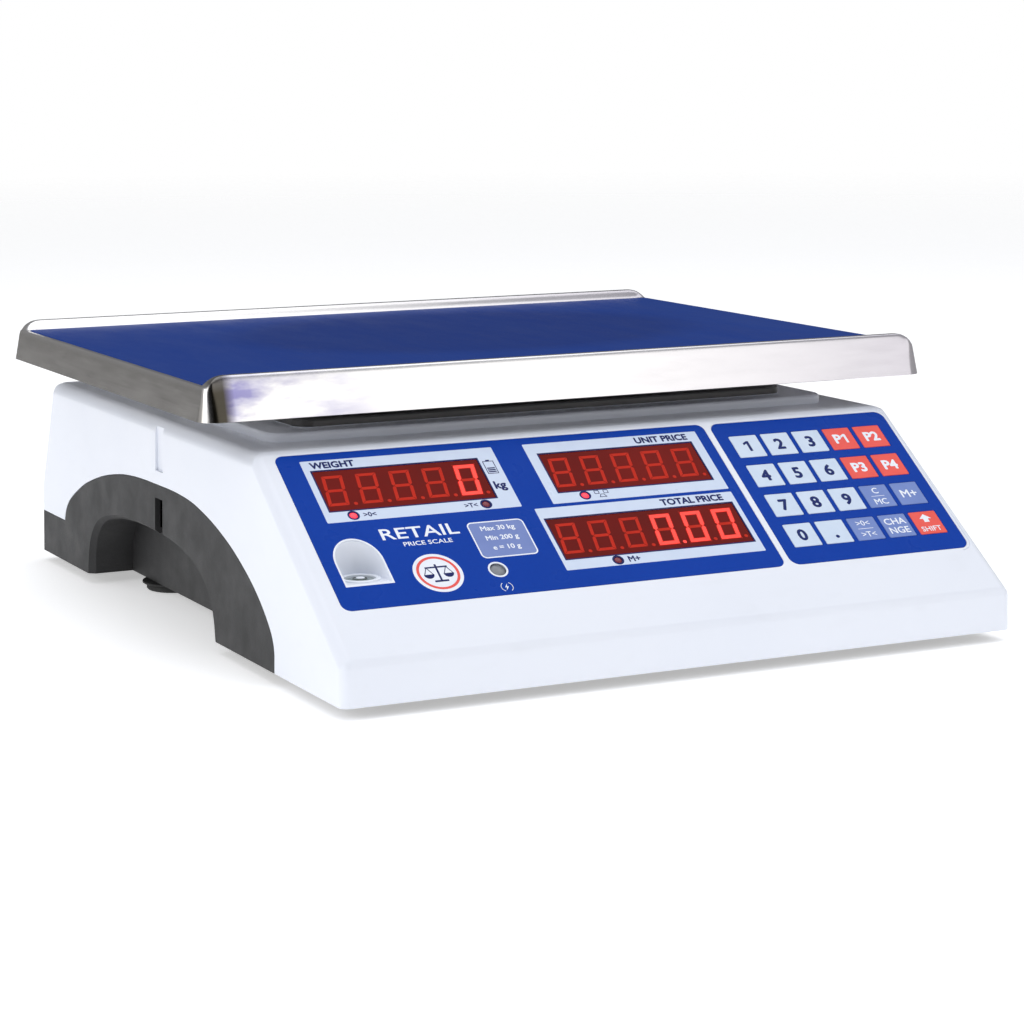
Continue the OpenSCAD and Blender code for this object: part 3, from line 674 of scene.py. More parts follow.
# deck steps: half width, front, back, top, corner radius
DECK_STEPS = ((140, -75, 152, 97, 10), (123, -64, 140, 101, 8))
# small lamps: across, up, radius, whether it is lit; the charge lamp has no such light
LAMPS = [(33.9, 79.6, 1.9, True), (94.6, 79.5, 1.9, False), (141.9, 79.5, 1.9, True),
         (140.6, 40.4, 1.9, False)]
CHARGE = (84.9, 41.8, 4.1)
# windows: lower left corner and number of digits
WINDOWS = {"weight": (24.6, 82.9, 5), "unit_price": (130.4, 82.6, 5), "total_price": (117.5, 43.7, 6)}
WINDOW_H = 23.7
# rear windows: their middles, half width, and lower and upper edge on the slope
REAR_X, REAR_HALF, REAR_V = (-71, 0, 71), 30.6, (14, 36)
VIAL_AT = (-HALF_W + 27.2, -HALF_D + 43.6)
POCKET_FLOOR = 46.9
GROOVE_Y = (11.5, 21.5)
KEYPAD_RECESS = (220.25, 27.25, 313.05, 116.75, 4.7)
# first key's corner, a key's size, and the spacing across and up
KEY_U, KEY_V, KEY_W, KEY_H, KEY_PX, KEY_PY = 226.7, 37.5, 14.1, 13.8, 16.45, 18.85
SOCKET_Z = 15.8                  # height of the power inlet and of the switch
BOLT_SEGMENTS, BOSS_R, FOOT_BOSS_R = 40, 4, 9.5
SCREWS = [(-143, -176), (143, -176), (-128, 60), (128, 60), (-143, 168), (143, 168)]


def pocket_outline(grow=0.0):
    x, y = VIAL_AT
    half = 10 + grow
    return arc(x, y, half, 0, 180, 28) + [(x - half, y - 10.3 - grow), (x + half, y - 10.3 - grow)]


def panel_holes(low, high, charge=True):
    """The openings of the windows, the small lamps and the charge lamp."""
    holes = Solid()
    for u, v, count in WINDOWS.values():
        holes.box(u, v, low, u + count * PITCH, v + WINDOW_H, high, TO_PANEL)
    for u, v, r in [lamp[:3] for lamp in LAMPS] + [CHARGE] * charge:
        holes.prism(circle(u, v, r), low, high, TO_PANEL)
    return holes


def upper_housing():
    steps, hollows = [], []
    for x, y0, y1, top, r in DECK_STEPS:
        round_top = [(60, 0), (top - 1.5, 0), (top - 0.9, -0.2), (top - 0.35, -0.65), (top, -1.5)]
        steps.append(levels(Solid(), rounded(-x, y0, x, y1, r), round_top))
        inside = rounded(-x + WALL, y0 + WALL, x - WALL, y1 - WALL, r - 2)
        hollows.append(Solid().prism(inside, 50, top - WALL))
    shell = body_form()
    backing = Solid().box(8, 20, -4.6, 2 * HALF_W - 8, 121, -1.3, TO_PANEL)
    liner = Solid().prism(pocket_outline(2), POCKET_FLOOR - 2.2, 92)
    above = Solid().box(-30, -60, -0.6, 2 * HALF_W + 30, 160, 60, TO_PANEL)
    carve(shell, *(("UNION", step) for step in steps))
    cut(shell, body_form(WALL, -10), *hollows)
    lined = cut(liner.object("liner"), above)
    rear_backing = Solid().box(-112, 4, -4.5, 112, 50, -1.3, TO_REAR)
    carve(shell, ("UNION", backing), ("UNION", lined), ("UNION", rear_backing))
    # what the dark base takes, with a fine gap along the seam
    taken = Solid().prism(grown(SIDE_PANEL, SEAM), -HALF_W - 20, HALF_W + 20, ALONG_X)
    floor = Solid().prism(rounded(-HALF_W + WALL, -HALF_D + WALL, HALF_W - WALL, HALF_D + 9, 1.4), -5, 10.6)
    recess = (Solid().prism(rounded(10.75, 27.25, 217.25, 117.25, 4.2), -0.5, 5, TO_PANEL)
              .prism(rounded(*KEYPAD_RECESS), -0.5, 5, TO_PANEL))
    line_out, line_in = (grown(rounded(*KEYPAD_RECESS), d) for d in (1.4, 1.1))
    right = [i for i, p in enumerate(line_out) if p[0] > 300]
    border = [line_out[i] for i in right] + [line_in[i] for i in right[::-1]]
    recess.prism(border, -0.35, 5, TO_PANEL)
    holes = panel_holes(-9, 4)
    holes.box(KEY_U - 1.4, KEY_V - 1.4, -2.4, KEY_U + 4 * KEY_PX + KEY_W + 1.4,
              KEY_V + 3 * KEY_PY + KEY_H + 1.4, 4, TO_PANEL)
    pocket = Solid().prism(pocket_outline(), POCKET_FLOOR, 120)
    vial_hole = Solid().prism(circle(*VIAL_AT, 7.6, 64), 38, 60)
    deck_hole = Solid().prism(rounded(28, 14, 72, 62, 8), 80, 120)
    rear = Solid().prism(rounded(-110, 6, 110, 48, 3), -0.5, 4, TO_REAR)
    for x in REAR_X:
        rear.box(x - REAR_HALF, REAR_V[0], -9, x + REAR_HALF, REAR_V[1], -0.2, TO_REAR)
    grooves = []
    for side in (-1, 1):
        x0, x1 = sorted((side * (HALF_W - 3), side * (HALF_W + 2)))
        grooves.append(Solid().box(x0, GROOVE_Y[0], 69.5, x1, GROOVE_Y[1], 99))
    cut(shell, taken, floor, recess, holes, pocket, vial_hole, deck_hole, rear, *grooves)
    shell.name = "white_housing"
    return finish_piece(smooth(shell), "housing", WHITE, ["upper_housing"])


upper_housing()

# ---------------------------------------------------------------- dark base

ON_BACK = (Matrix.Translation((0, HALF_D, 0)) @ Matrix.Rotation(math.pi, 4, "Z")
           @ Matrix.Rotation(math.pi / 2, 4, "X"))       # x towards -X, y up, z outwards


def middle(node):
    low, high = box_mm(node)
    return (low + high) / 2


FEET = {name: middle("foot_" + name) for name in ("front_left", "front_right", "rear_left", "rear_right")}


def battery_well(grow):
    """Corners of the battery opening in the floor, every edge moved outwards by grow."""
    return -60 - grow, 110 - grow, 60 + grow, 170 + grow


def dark_base():
    shell = body_form()
    region = Solid().prism(SIDE_PANEL, -HALF_W - 20, HALF_W + 20, ALONG_X)
    kept = Solid().box(-200, -250, -30, 200, 250, BOTTOM + WALL)
    for side in (-1, 1):
        x0, x1 = sorted((side * (HALF_W - 24.6), side * (HALF_W + 3)))
        kept.prism(grown(HOLD_OUTLINE, WALL), x0, x1, ALONG_X)
    for foot in FEET.values():
        kept.prism(circle(foot.x, foot.y, FOOT_BOSS_R), 0, 21)
    for x, y in SCREWS:
        kept.prism(circle(x, y, BOSS_R, 32), 0, 11.9)
    kept.prism(rectangle(*battery_well(2)), 0, 12)
    cavity = cut(body_form(WALL, -10), kept)
    inside = WALL + 0.2
    front = Solid().prism(rounded(-HALF_W + inside, -HALF_D + inside, HALF_W - inside, -118, 1.4),
                          BOTTOM, BOTTOM + WALL)
    for x, y in SCREWS[:2]:
        front.prism(circle(x, y, BOSS_R, 32), BOTTOM + 1, 11.9)
    for name in ("front_left", "front_right"):
        front.prism(circle(FEET[name].x, FEET[name].y, FOOT_BOSS_R), BOTTOM + 1, 21)
    cuts = Solid()
    for side in (-1, 1):
        x0, x1 = sorted((side * (HALF_W - 22), side * (HALF_W + 5)))
        cuts.prism(HOLD_OUTLINE, x0, x1, ALONG_X)
        # the arch has a chamfered edge
        wide = grown(HOLD_OUTLINE, 3.2)
        if side > 0:
            cuts.prism(HOLD_OUTLINE, HALF_W - 3.2, HALF_W + 1, ALONG_X, top=wide)
        else:
            cuts.prism(wide, -HALF_W - 1, -HALF_W + 3.2, ALONG_X, top=HOLD_OUTLINE)
        x0, x1 = sorted((side * (HALF_W - 5), side * (HALF_W + 2)))
        cuts.box(x0, 12.2, 34, x1, 22.2, 57)
    for foot in FEET.values():
        cuts.prism(circle(foot.x, foot.y, 4.3), 0, 19.5)
    for x, y in SCREWS:
        cuts.prism(circle(x, y, 1.9, 24), 0, 30)
        cuts.prism(circle(x, y, 3.6, 32), 0, 8.2)
    cuts.prism(rectangle(*battery_well(-0.6)), 0, 30)
    cuts.prism(rounded(*battery_well(1), 1.5), 0, BOTTOM + 1.8)
    cuts.prism(circle(-96, SOCKET_Z, 6), -8, 3, ON_BACK)
    cuts.box(-74.8, 9.2, -8, -53.2, 22.4, 3, ON_BACK)
    for i in range(13):
        cuts.prism(rounded(-61.5 + 10 * i, -120, -58.5 + 10 * i, -80, 1.45), 0, 12)
    carve(shell, ("INTERSECT", region), ("DIFFERENCE", cavity), ("UNION", front), ("DIFFERENCE", cuts))
    shell.name = "dark_base"
    return finish_piece(smooth(shell), "housing", DARK, ["lower_base"])


dark_base()

# ---------------------------------------------------------------- display and keypad print


def on_slope(outline):
    """An upright outline seen from above, as panel coordinates where it meets the slope."""
    return [(x + HALF_W, (y + HALF_D) / math.cos(SLOPE)) for x, y in outline]


def stroke(solid, points, width, low, high, matrix=TO_PANEL):
    """Straight bars of one width between the points."""
    for a, b in zip(points, points[1:]):
        a, b = Vector(a), Vector(b)
        along = (b - a).normalized()
        side = Vector((-along.y, along.x)) * width / 2
        ends = [a - along * width / 2, b + along * width / 2]
        solid.prism([tuple(ends[0] - side), tuple(ends[1] - side), tuple(ends[1] + side),
                     tuple(ends[0] + side)], low, high, matrix)


def display_print():
    plate = Solid().prism(rounded(11, 27.5, 217, 117, 3.4), -0.5, 0.0, TO_PANEL)
    pocket = Solid().prism(pocket_outline(0.45), 30, 120)
    blue = cut(plate.object("display_print"), panel_holes(-3, 3), pocket)
    part(blue, "display_print", "housing", BLUE, ["display_overlay"])

    frames = Solid()
    for low_u, low_v, high_u, high_v in ((21.2, 76.3, 110.2, 113), (125.1, 76, 211.7, 113),
                                         (115.1, 37.4, 211.8, 74.1)):
        frames.prism(rounded(low_u, low_v, high_u, high_v, 0.5, 3), -0.02, 0.05, TO_PANEL)
    pale = cut(frames.object("display_frames"), panel_holes(-3, 3, charge=False))
    part(pale, "display_frames", "housing", PALE)

    navy = Solid()
    for u, v, count in WINDOWS.values():
        inner = rectangle(u, v, u + count * PITCH, v + WINDOW_H)
        navy.ring(grown(inner, 0.62), inner, -0.3, 0.08, TO_PANEL)
    for u, v, r, _ in LAMPS:
        navy.ring(circle(u, v, 2.65), circle(u, v, r - 0.02), -0.3, 0.09, TO_PANEL)
    lettering(navy, "WEIGHT", 25.2, 108.3, 3.5, 0.05, align="LEFT", bold=0.06, wide=1.02)
    lettering(navy, "UNIT PRICE", 206, 108.3, 3.5, 0.05, align="RIGHT", bold=0.06, wide=1.02)
    lettering(navy, "TOTAL PRICE", 206, 69.5, 3.5, 0.05, align="RIGHT", bold=0.06, wide=1.02)
    lettering(navy, "kg", 105.3, 88.0, 4.3, 0.05, bold=0.05)
    lettering(navy, ">0<", 41.2, 78.3, 2.5, 0.05, bold=0.03)
    lettering(navy, ">T<", 87.6, 78.3, 2.5, 0.05, bold=0.03)
    lettering(navy, "M+", 148.3, 38.9, 3.1, 0.05, bold=0.04)
    # battery: outline, cap, three bars
    outline = [(102.9, 97.2), (107.7, 97.2), (107.7, 104.6), (102.9, 104.6), (102.9, 97.2)]
    stroke(navy, outline, 0.34, 0.05, 0.08)
    navy.box(104.4, 104.7, 0.05, 106.2, 105.5, 0.08, TO_PANEL)
    for i in range(3):
        navy.box(103.5, 97.9 + 1.1 * i, 0.05, 107.1, 98.6 + 1.1 * i, 0.08, TO_PANEL)
    # sampling: two goods and a support
    for u in (146.9, 151.3):
        stroke(navy, [(u, 79.9), (u + 2, 79.9), (u + 2, 81.7), (u, 81.7), (u, 79.9)], 0.3, 0.05, 0.08)
    stroke(navy, [(149.4, 79.4), (148.5, 77.8), (151.7, 77.8), (150.8, 79.4), (149.4, 79.4)], 0.3, 0.05, 0.08)
    # balance pictogram on the round badge
    x, y = 58.3, 43.2
    stroke(navy, [(x, y - 4.6), (x, y + 4.4)], 0.9, 0.13, 0.16)
    stroke(navy, [(x - 4.6, y + 3.2), (x + 4.6, y + 3.2)], 0.8, 0.13, 0.16)
    stroke(navy, [(x - 2.6, y - 4.6), (x + 2.6, y - 4.6)], 1.0, 0.13, 0.16)
    for side in (-1, 1):
        hang = x + side * 4.4
        stroke(navy, [(hang - 1.9, y - 0.6), (hang, y + 3.2), (hang + 1.9, y - 0.6)], 0.35, 0.13, 0.16)
        navy.prism(arc(hang, y - 0.6, 2.3, 180, 360, 12), 0.13, 0.16, TO_PANEL)
    part(navy, "display_lettering", "housing", NAVY)

    white = Solid()
    white.prism(circle(x, y, 10.8, 72), -0.02, 0.05, TO_PANEL)
    white.prism(circle(x, y, 7.4, 72), 0.05, 0.12, TO_PANEL)
    u, v, _ = CHARGE
    white.ring(circle(u, v, 4.35, 64), circle(u, v, 3.55, 64), -0.05, 0.1, TO_PANEL)
    edge = on_slope(pocket_outline())
    white.ring(grown(edge, 0.75), grown(edge, -0.02), -0.6, 0.08, TO_PANEL)
    badge = rounded(80.8, 48.5, 107.1, 69.5, 2.5)
    white.ring(badge, grown(badge, -0.62), -0.02, 0.07, TO_PANEL)
    for i, words in enumerate(("Max 30 kg", "Min 200 g", "e = 10 g")):
        lettering(white, words, 94, 64.2 - 5.6 * i, 2.55, 0.05, bold=0.035, wide=1.05)
    lettering(white, "RETAIL", 58.6, 64.2, 6.2, 0.0, bold=0.02, wide=1.3)
    lettering(white, "PRICE SCALE", 60.4, 59.7, 2.3, 0.0, bold=0.02, wide=1.2)
    bolt = [(85.6, 33.6), (84.0, 31.6), (84.8, 31.6), (84.2, 29.9), (85.9, 32.0), (85.0, 32.0)]
    white.prism(bolt, 0.0, 0.05, TO_PANEL)
    stroke(white, [tuple(p) for p in arc(85.0, 31.8, 2.6, 125, 235, 8)], 0.3, 0.0, 0.05)
    stroke(white, [tuple(p) for p in arc(85.0, 31.8, 2.6, -55, 55, 8)], 0.3, 0.0, 0.05)
    part(white, "display_white_print", "housing", INK_WHITE)
    part(Solid().ring(circle(x, y, 9.3, 72), circle(x, y, 8.1, 72), 0.05, 0.09, TO_PANEL),
         "badge_ring", "housing", INK_CORAL)
    part(Solid().prism(grown(badge, -0.6), -0.02, 0.05, TO_PANEL), "rating_panel", "housing", SLATE_INK)


display_print()


def keypad_print():
    plate = Solid().prism(rounded(220.5, 27.5, 312.8, 116.5, 4.4), -0.5, 0.0, TO_PANEL)
    holes = Solid()
    for column in range(5):
        for row in range(4):
            u, v = KEY_U + column * KEY_PX, KEY_V + row * KEY_PY
            holes.prism(rounded(u - 0.2, v - 0.2, u + KEY_W + 0.2, v + KEY_H + 0.2, 0.6, 3), -3, 3, TO_PANEL)
    blue = cut(plate.object("keypad_print"), holes)
    part(blue, "keypad_print", "housing", BLUE, ["keypad_overlay"])


keypad_print()


def key_legend(solid, name, x, y):
    """The legend of one key, about its middle."""
    top = 0.1

    def write(text, dy, height, bold=0.055, dx=0.0):
        lettering(solid, text, x + dx, y + dy - height / 2, height, top, bold=bold)

    if name == "key_point":
        solid.prism(circle(x + 0.3, y - 3.0, 0.95, 24), top, top + 0.03, TO_PANEL)
    elif name == "key_clear":
        write("C", 3.4, 3.4, 0.02)
        write("MC", -3.4, 3.4, 0.02)
        solid.box(x - 3.4, y - 0.12, top, x + 3.4, y + 0.14, top + 0.03, TO_PANEL)
    elif name == "key_memory":
        write("M+", 0, 4.6, 0.025)
    elif name == "key_zero":
        write(">0<", 3.4, 3.1, 0.01)
        write(">T<", -3.4, 3.1, 0.01)
        solid.box(x - 3.9, y - 0.12, top, x + 3.9, y + 0.14, top + 0.03, TO_PANEL)
    elif name == "key_change":
        write("CHA", 2.7, 3.7, 0.025)
        write("NGE", -2.8, 3.7, 0.025)
    elif name == "key_shift":
        write("SHIFT", -3.8, 2.9, 0.015)
        arrow = [(-1.3, 0.3), (1.3, 0.3), (1.3, 2.4), (3.1, 2.4), (0, 5.2), (-3.1, 2.4), (-1.3, 2.4)]
        solid.prism([(x + a, y + b) for a, b in arrow], top, top + 0.03, TO_PANEL)
    elif name == "key_p1":
        write("P", 0, 5.5, dx=-1.9)
        figure_one(solid, x + 2.6, y - 2.8, 5.6, top)
    elif name.startswith("key_p"):
        write(name[4:].upper(), 0, 5.5)
    elif name == "key_1":
        figure_one(solid, x + 0.6, y - 3.2, 6.4, top)
    else:
        write(name[4:], 0, 6.3)


def keys():
    rows = (("key_1", "key_2", "key_3", "key_p1", "key_p2"), ("key_4", "key_5", "key_6", "key_p3", "key_p4"),
            ("key_7", "key_8", "key_9", "key_clear", "key_memory"),
            ("key_0", "key_point", "key_zero", "key_change", "key_shift"))
    for r, row in enumerate(rows):
        for c, name in enumerate(row):
            u, v = KEY_U + c * KEY_PX, KEY_V + (3 - r) * KEY_PY
            if name in ("key_clear", "key_memory", "key_zero", "key_change"):
                paint, ink, slot = KEY_SLATE, INK_WHITE, "key_slate"
            elif name.startswith("key_p") and name != "key_point" or name == "key_shift":
                paint, ink, slot = KEY_CORAL, INK_WHITE, "key_coral"
            else:
                paint, ink, slot = KEY_PALE, KEY_INK, "key_pale"
            tile = levels(Solid(), rounded(u, v, u + KEY_W, v + KEY_H, 0.55, 4),
                          [(-1.2, -0.05), (-0.05, 0), (0.05, -0.06), (0.1, -0.22)], TO_PANEL)
            part(tile, name + "_tile", name, paint, [name], 60)
            legend = Solid()
            key_legend(legend, name, u + KEY_W / 2, v + KEY_H / 2)
            part(legend, name + "_legend", name, ink)


keys()

# ---------------------------------------------------------------- windows, digits, lamps, level


def digit(x, y, height, which, grow=0.0, slant=8.0):
    """Outlines of the named segments of a digit about its middle, mitred at its outer corners."""
    t, half = height * 0.088, height / 2      # stroke width, half height
    wide = height * 0.265 - t / 2
    high = half - t / 2
    # start, end, outward side, whether the start and the end meet an outer corner
    bars = {"a": ((-wide, high), (wide, high), (0, 1), 1, 1), "g": ((-wide, 0), (wide, 0), (0, 1), 0, 0),
            "d": ((-wide, -high), (wide, -high), (0, -1), 1, 1), "b": ((wide, high), (wide, 0), (1, 0), 1, 0),
            "c": ((wide, 0), (wide, -high), (1, 0), 0, 1), "f": ((-wide, high), (-wide, 0), (-1, 0), 1, 0),
            "e": ((-wide, 0), (-wide, -high), (-1, 0), 0, 1)}
    lean = math.tan(math.radians(slant))
    gap, h = 0.14 - grow, t / 2 + grow
    out = []
    for name in which:
        a, b, side = (Vector(v) for v in bars[name][:3])
        along = (b - a).normalized()
        mitre, point, across = along * (h - gap), along * (gap + h), side * h
        first = [a - mitre + across] if bars[name][3] else [a + point + across, a + along * gap]
        last = [b + mitre + across] if bars[name][4] else [b - along * gap, b - point + across]
        shape = first + [a + point - across, b - point - across] + last
        out.append([(x + p.x + lean * p.y, y + p.y) for p in shape])
    return out


def show_digits(name, matrix, places, height, lit, points_lit=(), top=-0.12):
    """places are the digit middles; lit says how many digits, counted from the last, show 0."""
    dim, bright, halo = Solid(), Solid(), Solid()
    count = len(places)
    for i, (x, y) in enumerate(places):
        on = i >= count - lit
        shown = "abcdef" if on else ""
        for shape in digit(x, y, height, [s for s in "abcdefg" if s not in shown]):
            dim.prism(shape, top, top + 0.03, matrix)
        for shape in digit(x, y, height, shown, 0.12):
            bright.prism(shape, top + 0.02, top + 0.07, matrix)
        for shape in digit(x, y, height, shown, 0.55):
            halo.prism(shape, top, top + 0.015, matrix)
        dot = circle(x + 0.36 * height, y - height * 0.47, 0.05 * height, 20)
        (bright if i in points_lit else dim).prism(dot, top, top + 0.04, matrix)
    part(dim, name + "_unlit", "housing", UNLIT)
    if lit:
        part(bright, name + "_lit", "housing", LIT)
        part(halo, name + "_halo", "housing", HALO)


def windows():
    lit = {"weight": (1, ()), "unit_price": (0, ()), "total_price": (3, (3,))}
    for name, (u, v, count) in WINDOWS.items():
        outline = rounded(u + 0.03, v + 0.03, u + count * PITCH - 0.03, v + WINDOW_H - 0.03, 0.3, 3)
        lens = levels(Solid(), outline, [(-2, 0), (-0.2, 0), (-0.12, -0.08)], TO_PANEL)
        part(lens, name + "_filter", "housing", RED, [name + "_window"])
        places = [(u + 6.6 + i * PITCH, v + WINDOW_H / 2) for i in range(count)]
        show_digits(name, TO_PANEL, places, 17.6, *lit[name])


windows()


def lamps():
    on, off = Solid(), Solid()
    for u, v, r, lit in LAMPS:
        dome = [(0, -9), (r - 0.1, -9), (r - 0.1, -0.35), (r - 0.3, -0.02), (r * 0.62, 0.22),
                (r * 0.3, 0.33), (0, 0.36)]
        (on if lit else off).revolve(dome, TO_PANEL @ upright(u, v), 40)
    part(on, "lamps_on", "housing", LAMP_ON, ["indicator_lamps"])
    part(off, "lamps_off", "housing", LAMP_OFF, ["indicator_lamps"])
    u, v, r = CHARGE
    lens = [(0, -9), (r - 0.1, -9), (r - 0.1, -1.1), (r - 0.5, -0.75), (r * 0.6, -0.35),
            (r * 0.3, -0.15), (0, -0.1)]
    part(Solid().revolve(lens, TO_PANEL @ upright(u, v), 56), "charge_lens", "housing", GREY_LENS,
         ["indicator_lamps"], 60)


lamps()


def spirit_level():
    at = upright(*VIAL_AT)
    cup = [(7.5, 40.5), (7.5, 46.9), (8.55, 46.9), (8.55, 47.4), (8.25, 47.68), (6.9, 47.68), (6.6, 47.4),
           (6.6, 46.6), (6.9, 40.5), (7.5, 40.5)]
    part(Solid().revolve(cup, at), "level_cup", "housing", INK_WHITE, ["spirit_level"])
    liquid = [(0, 40.6), (6.55, 40.6), (6.55, 46.6), (4.5, 47.05), (2, 47.25), (0, 47.3)]
    part(Solid().revolve(liquid, at), "level_liquid", "housing", VIAL, (), 60)
    bubble = [(0, 47.0)] + [(1.9 * math.sin(math.radians(a)), 47.05 + 0.42 * (1 - math.cos(math.radians(a))))
                            for a in (30, 60, 90, 120, 150)] + [(0, 47.6)]
    part(Solid().revolve(bubble, at @ Matrix.Translation((0.4, 0.5, -0.05)), 32), "level_bubble", "housing",
         INK_WHITE, (), 60)
    ring = [(2.7, 47.2), (2.7, 47.33), (3.05, 47.33), (3.05, 47.2), (2.7, 47.2)]
    part(Solid().revolve(ring, at), "level_ring", "housing", BLACK)


spirit_level()

# ---------------------------------------------------------------- pan, film and what carries them

PAN_Y = (pan_low.y + pan_high.y) / 2
PAN_W, PAN_D = (pan_high.x - pan_low.x) / 2, (pan_high.y - pan_low.y) / 2
PAN_R = 7.5
CREST = pan_high.z - 0.05
BEAD_W, BEAD_FALL = 8.4, 4.4          # width of the beads, and of their inner slope
END_R, END_IN = 11, 13.2              # each bead's rounding at the ends, and its centre inwards
END_RISE, FRONT_RISE = 5.5, 3.44      # how far the skirts rise for each mm inwards
PAN_FLAT = film_low.z
CORNER_STEPS = 12


def soft_min(a, b, k):
    h = max(k - abs(a - b), 0) / k
    return min(a, b) - h * h * k / 4


def soft_max(a, b, k):
    return -soft_min(-a, -b, k)


def pan_height(x, y, s, lean):
    """Height of the sheet at a place, s inwards from the lower edge; lean is 1 on the sides, 0 in front."""
    a, b = PAN_W - abs(x), PAN_D - abs(y)
    skirt = pan_low.z + s * (END_RISE * lean + FRONT_RISE * (1 - lean))
    t = min(max(b - BEAD_W, 0) / BEAD_FALL, 1)
    bead = CREST - (CREST - PAN_FLAT) * (3 * t * t - 2 * t ** 3)
    end = CREST - END_R + math.sqrt(max(END_R ** 2 - max(END_IN - a, 0) ** 2, 0.01))
    top = soft_max(PAN_FLAT, soft_min(bead, end, 1.6), 0.5)
    return soft_min(skirt, top, 3.0)


def pan_ring(s):
    """Points round the pan, s inwards from its lower edge, with a height each."""
    r = max(PAN_R - s, 2.0)
    cx, cy = PAN_W - s - r, PAN_D - s - r
    points = []
    near = [PAN_R + 1.0 * i for i in range(1, 15)]
    quadrants = ((1, -1), (1, 1), (-1, 1), (-1, -1))
    for sx, sy in quadrants:
        front = [(sx * min(PAN_W - t, cx), sy * (PAN_D - s), 0.0) for t in near[::-1]]
        round_ = []
        for i in range(CORNER_STEPS + 1):
            turn = math.radians(90 * i / CORNER_STEPS)
            x, y = cx + r * math.sin(turn), cy + r * math.cos(turn)
            round_.append((sx * x, sy * y, math.sin(turn) ** 2))
        side = [(sx * (PAN_W - s), sy * min(PAN_D - t, cy), 1.0) for t in near]
        run = front + round_ + side
        points += run if sx * sy < 0 else run[::-1]
    return [(x, y + PAN_Y, pan_height(x, y, s, lean)) for x, y, lean in points]


def weighing_pan():
    steps = [0, 0.3, 0.6, 0.9, 1.2, 1.5, 1.8, 2.1, 2.4, 2.8, 3.2, 3.6, 4, 4.4, 4.8, 5.2, 5.6, 6, 6.5, 7,
             7.6, 8.2, 8.8, 9.3, 9.8, 10.3, 10.8, 11.3, 11.8, 12.3, 12.8, 13.3, 14, 15]
    rings = [pan_ring(s) for s in steps]
    n = len(rings[0])
    points = [p for ring in rings for p in ring]
    faces = [[k * n + i, k * n + (i + 1) % n, (k + 1) * n + (i + 1) % n, (k + 1) * n + i]
             for k in range(len(rings) - 1) for i in range(n)]
    faces.append([(len(rings) - 1) * n + i for i in range(n)])
    sheet = Solid().add(points, faces).object("weighing_pan_sheet")
    clean = bmesh.new()
    clean.from_mesh(sheet.data)
    bmesh.ops.remove_doubles(clean, verts=clean.verts, dist=1e-5)
    bmesh.ops.dissolve_degenerate(clean, dist=1e-5, edges=clean.edges)
    bmesh.ops.recalc_face_normals(clean, faces=clean.faces)
    top = max(clean.faces, key=lambda f: f.calc_area())
    if top.normal.z < 0:
        bmesh.ops.reverse_faces(clean, faces=clean.faces)
    clean.to_mesh(sheet.data)
    clean.free()
    thick = sheet.modifiers.new("sheet", "SOLIDIFY")
    thick.thickness, thick.offset, thick.use_even_offset = 1.0 * MM, -1, True
    baked(sheet)
    part(sheet, "weighing_pan_sheet", "pan", STEEL, ["weighing_pan"], 50)
    low, high = film_low, film_high
    film = levels(Solid(), rounded(low.x + 0.2, low.y + 0.2, high.x - 0.2, high.y - 0.2, 2.2, 5),
                  [(low.z, 0), (high.z - 0.3, 0), (high.z - 0.1, -0.08), (high.z - 0.02, -0.3)])
    part(film, "pan_protective_film", "pan", FILM, ["pan_film"], 60)


weighing_pan()

PAD_X, PAD_Y = 120, 85
PADS = [(x, PAN_Y + y) for x in (-PAD_X, PAD_X) for y in (-PAD_Y, PAD_Y)]
CARRIER_BOLTS = [(x, PAN_Y + y) for x in (44, 56) for y in (-8, 8)]


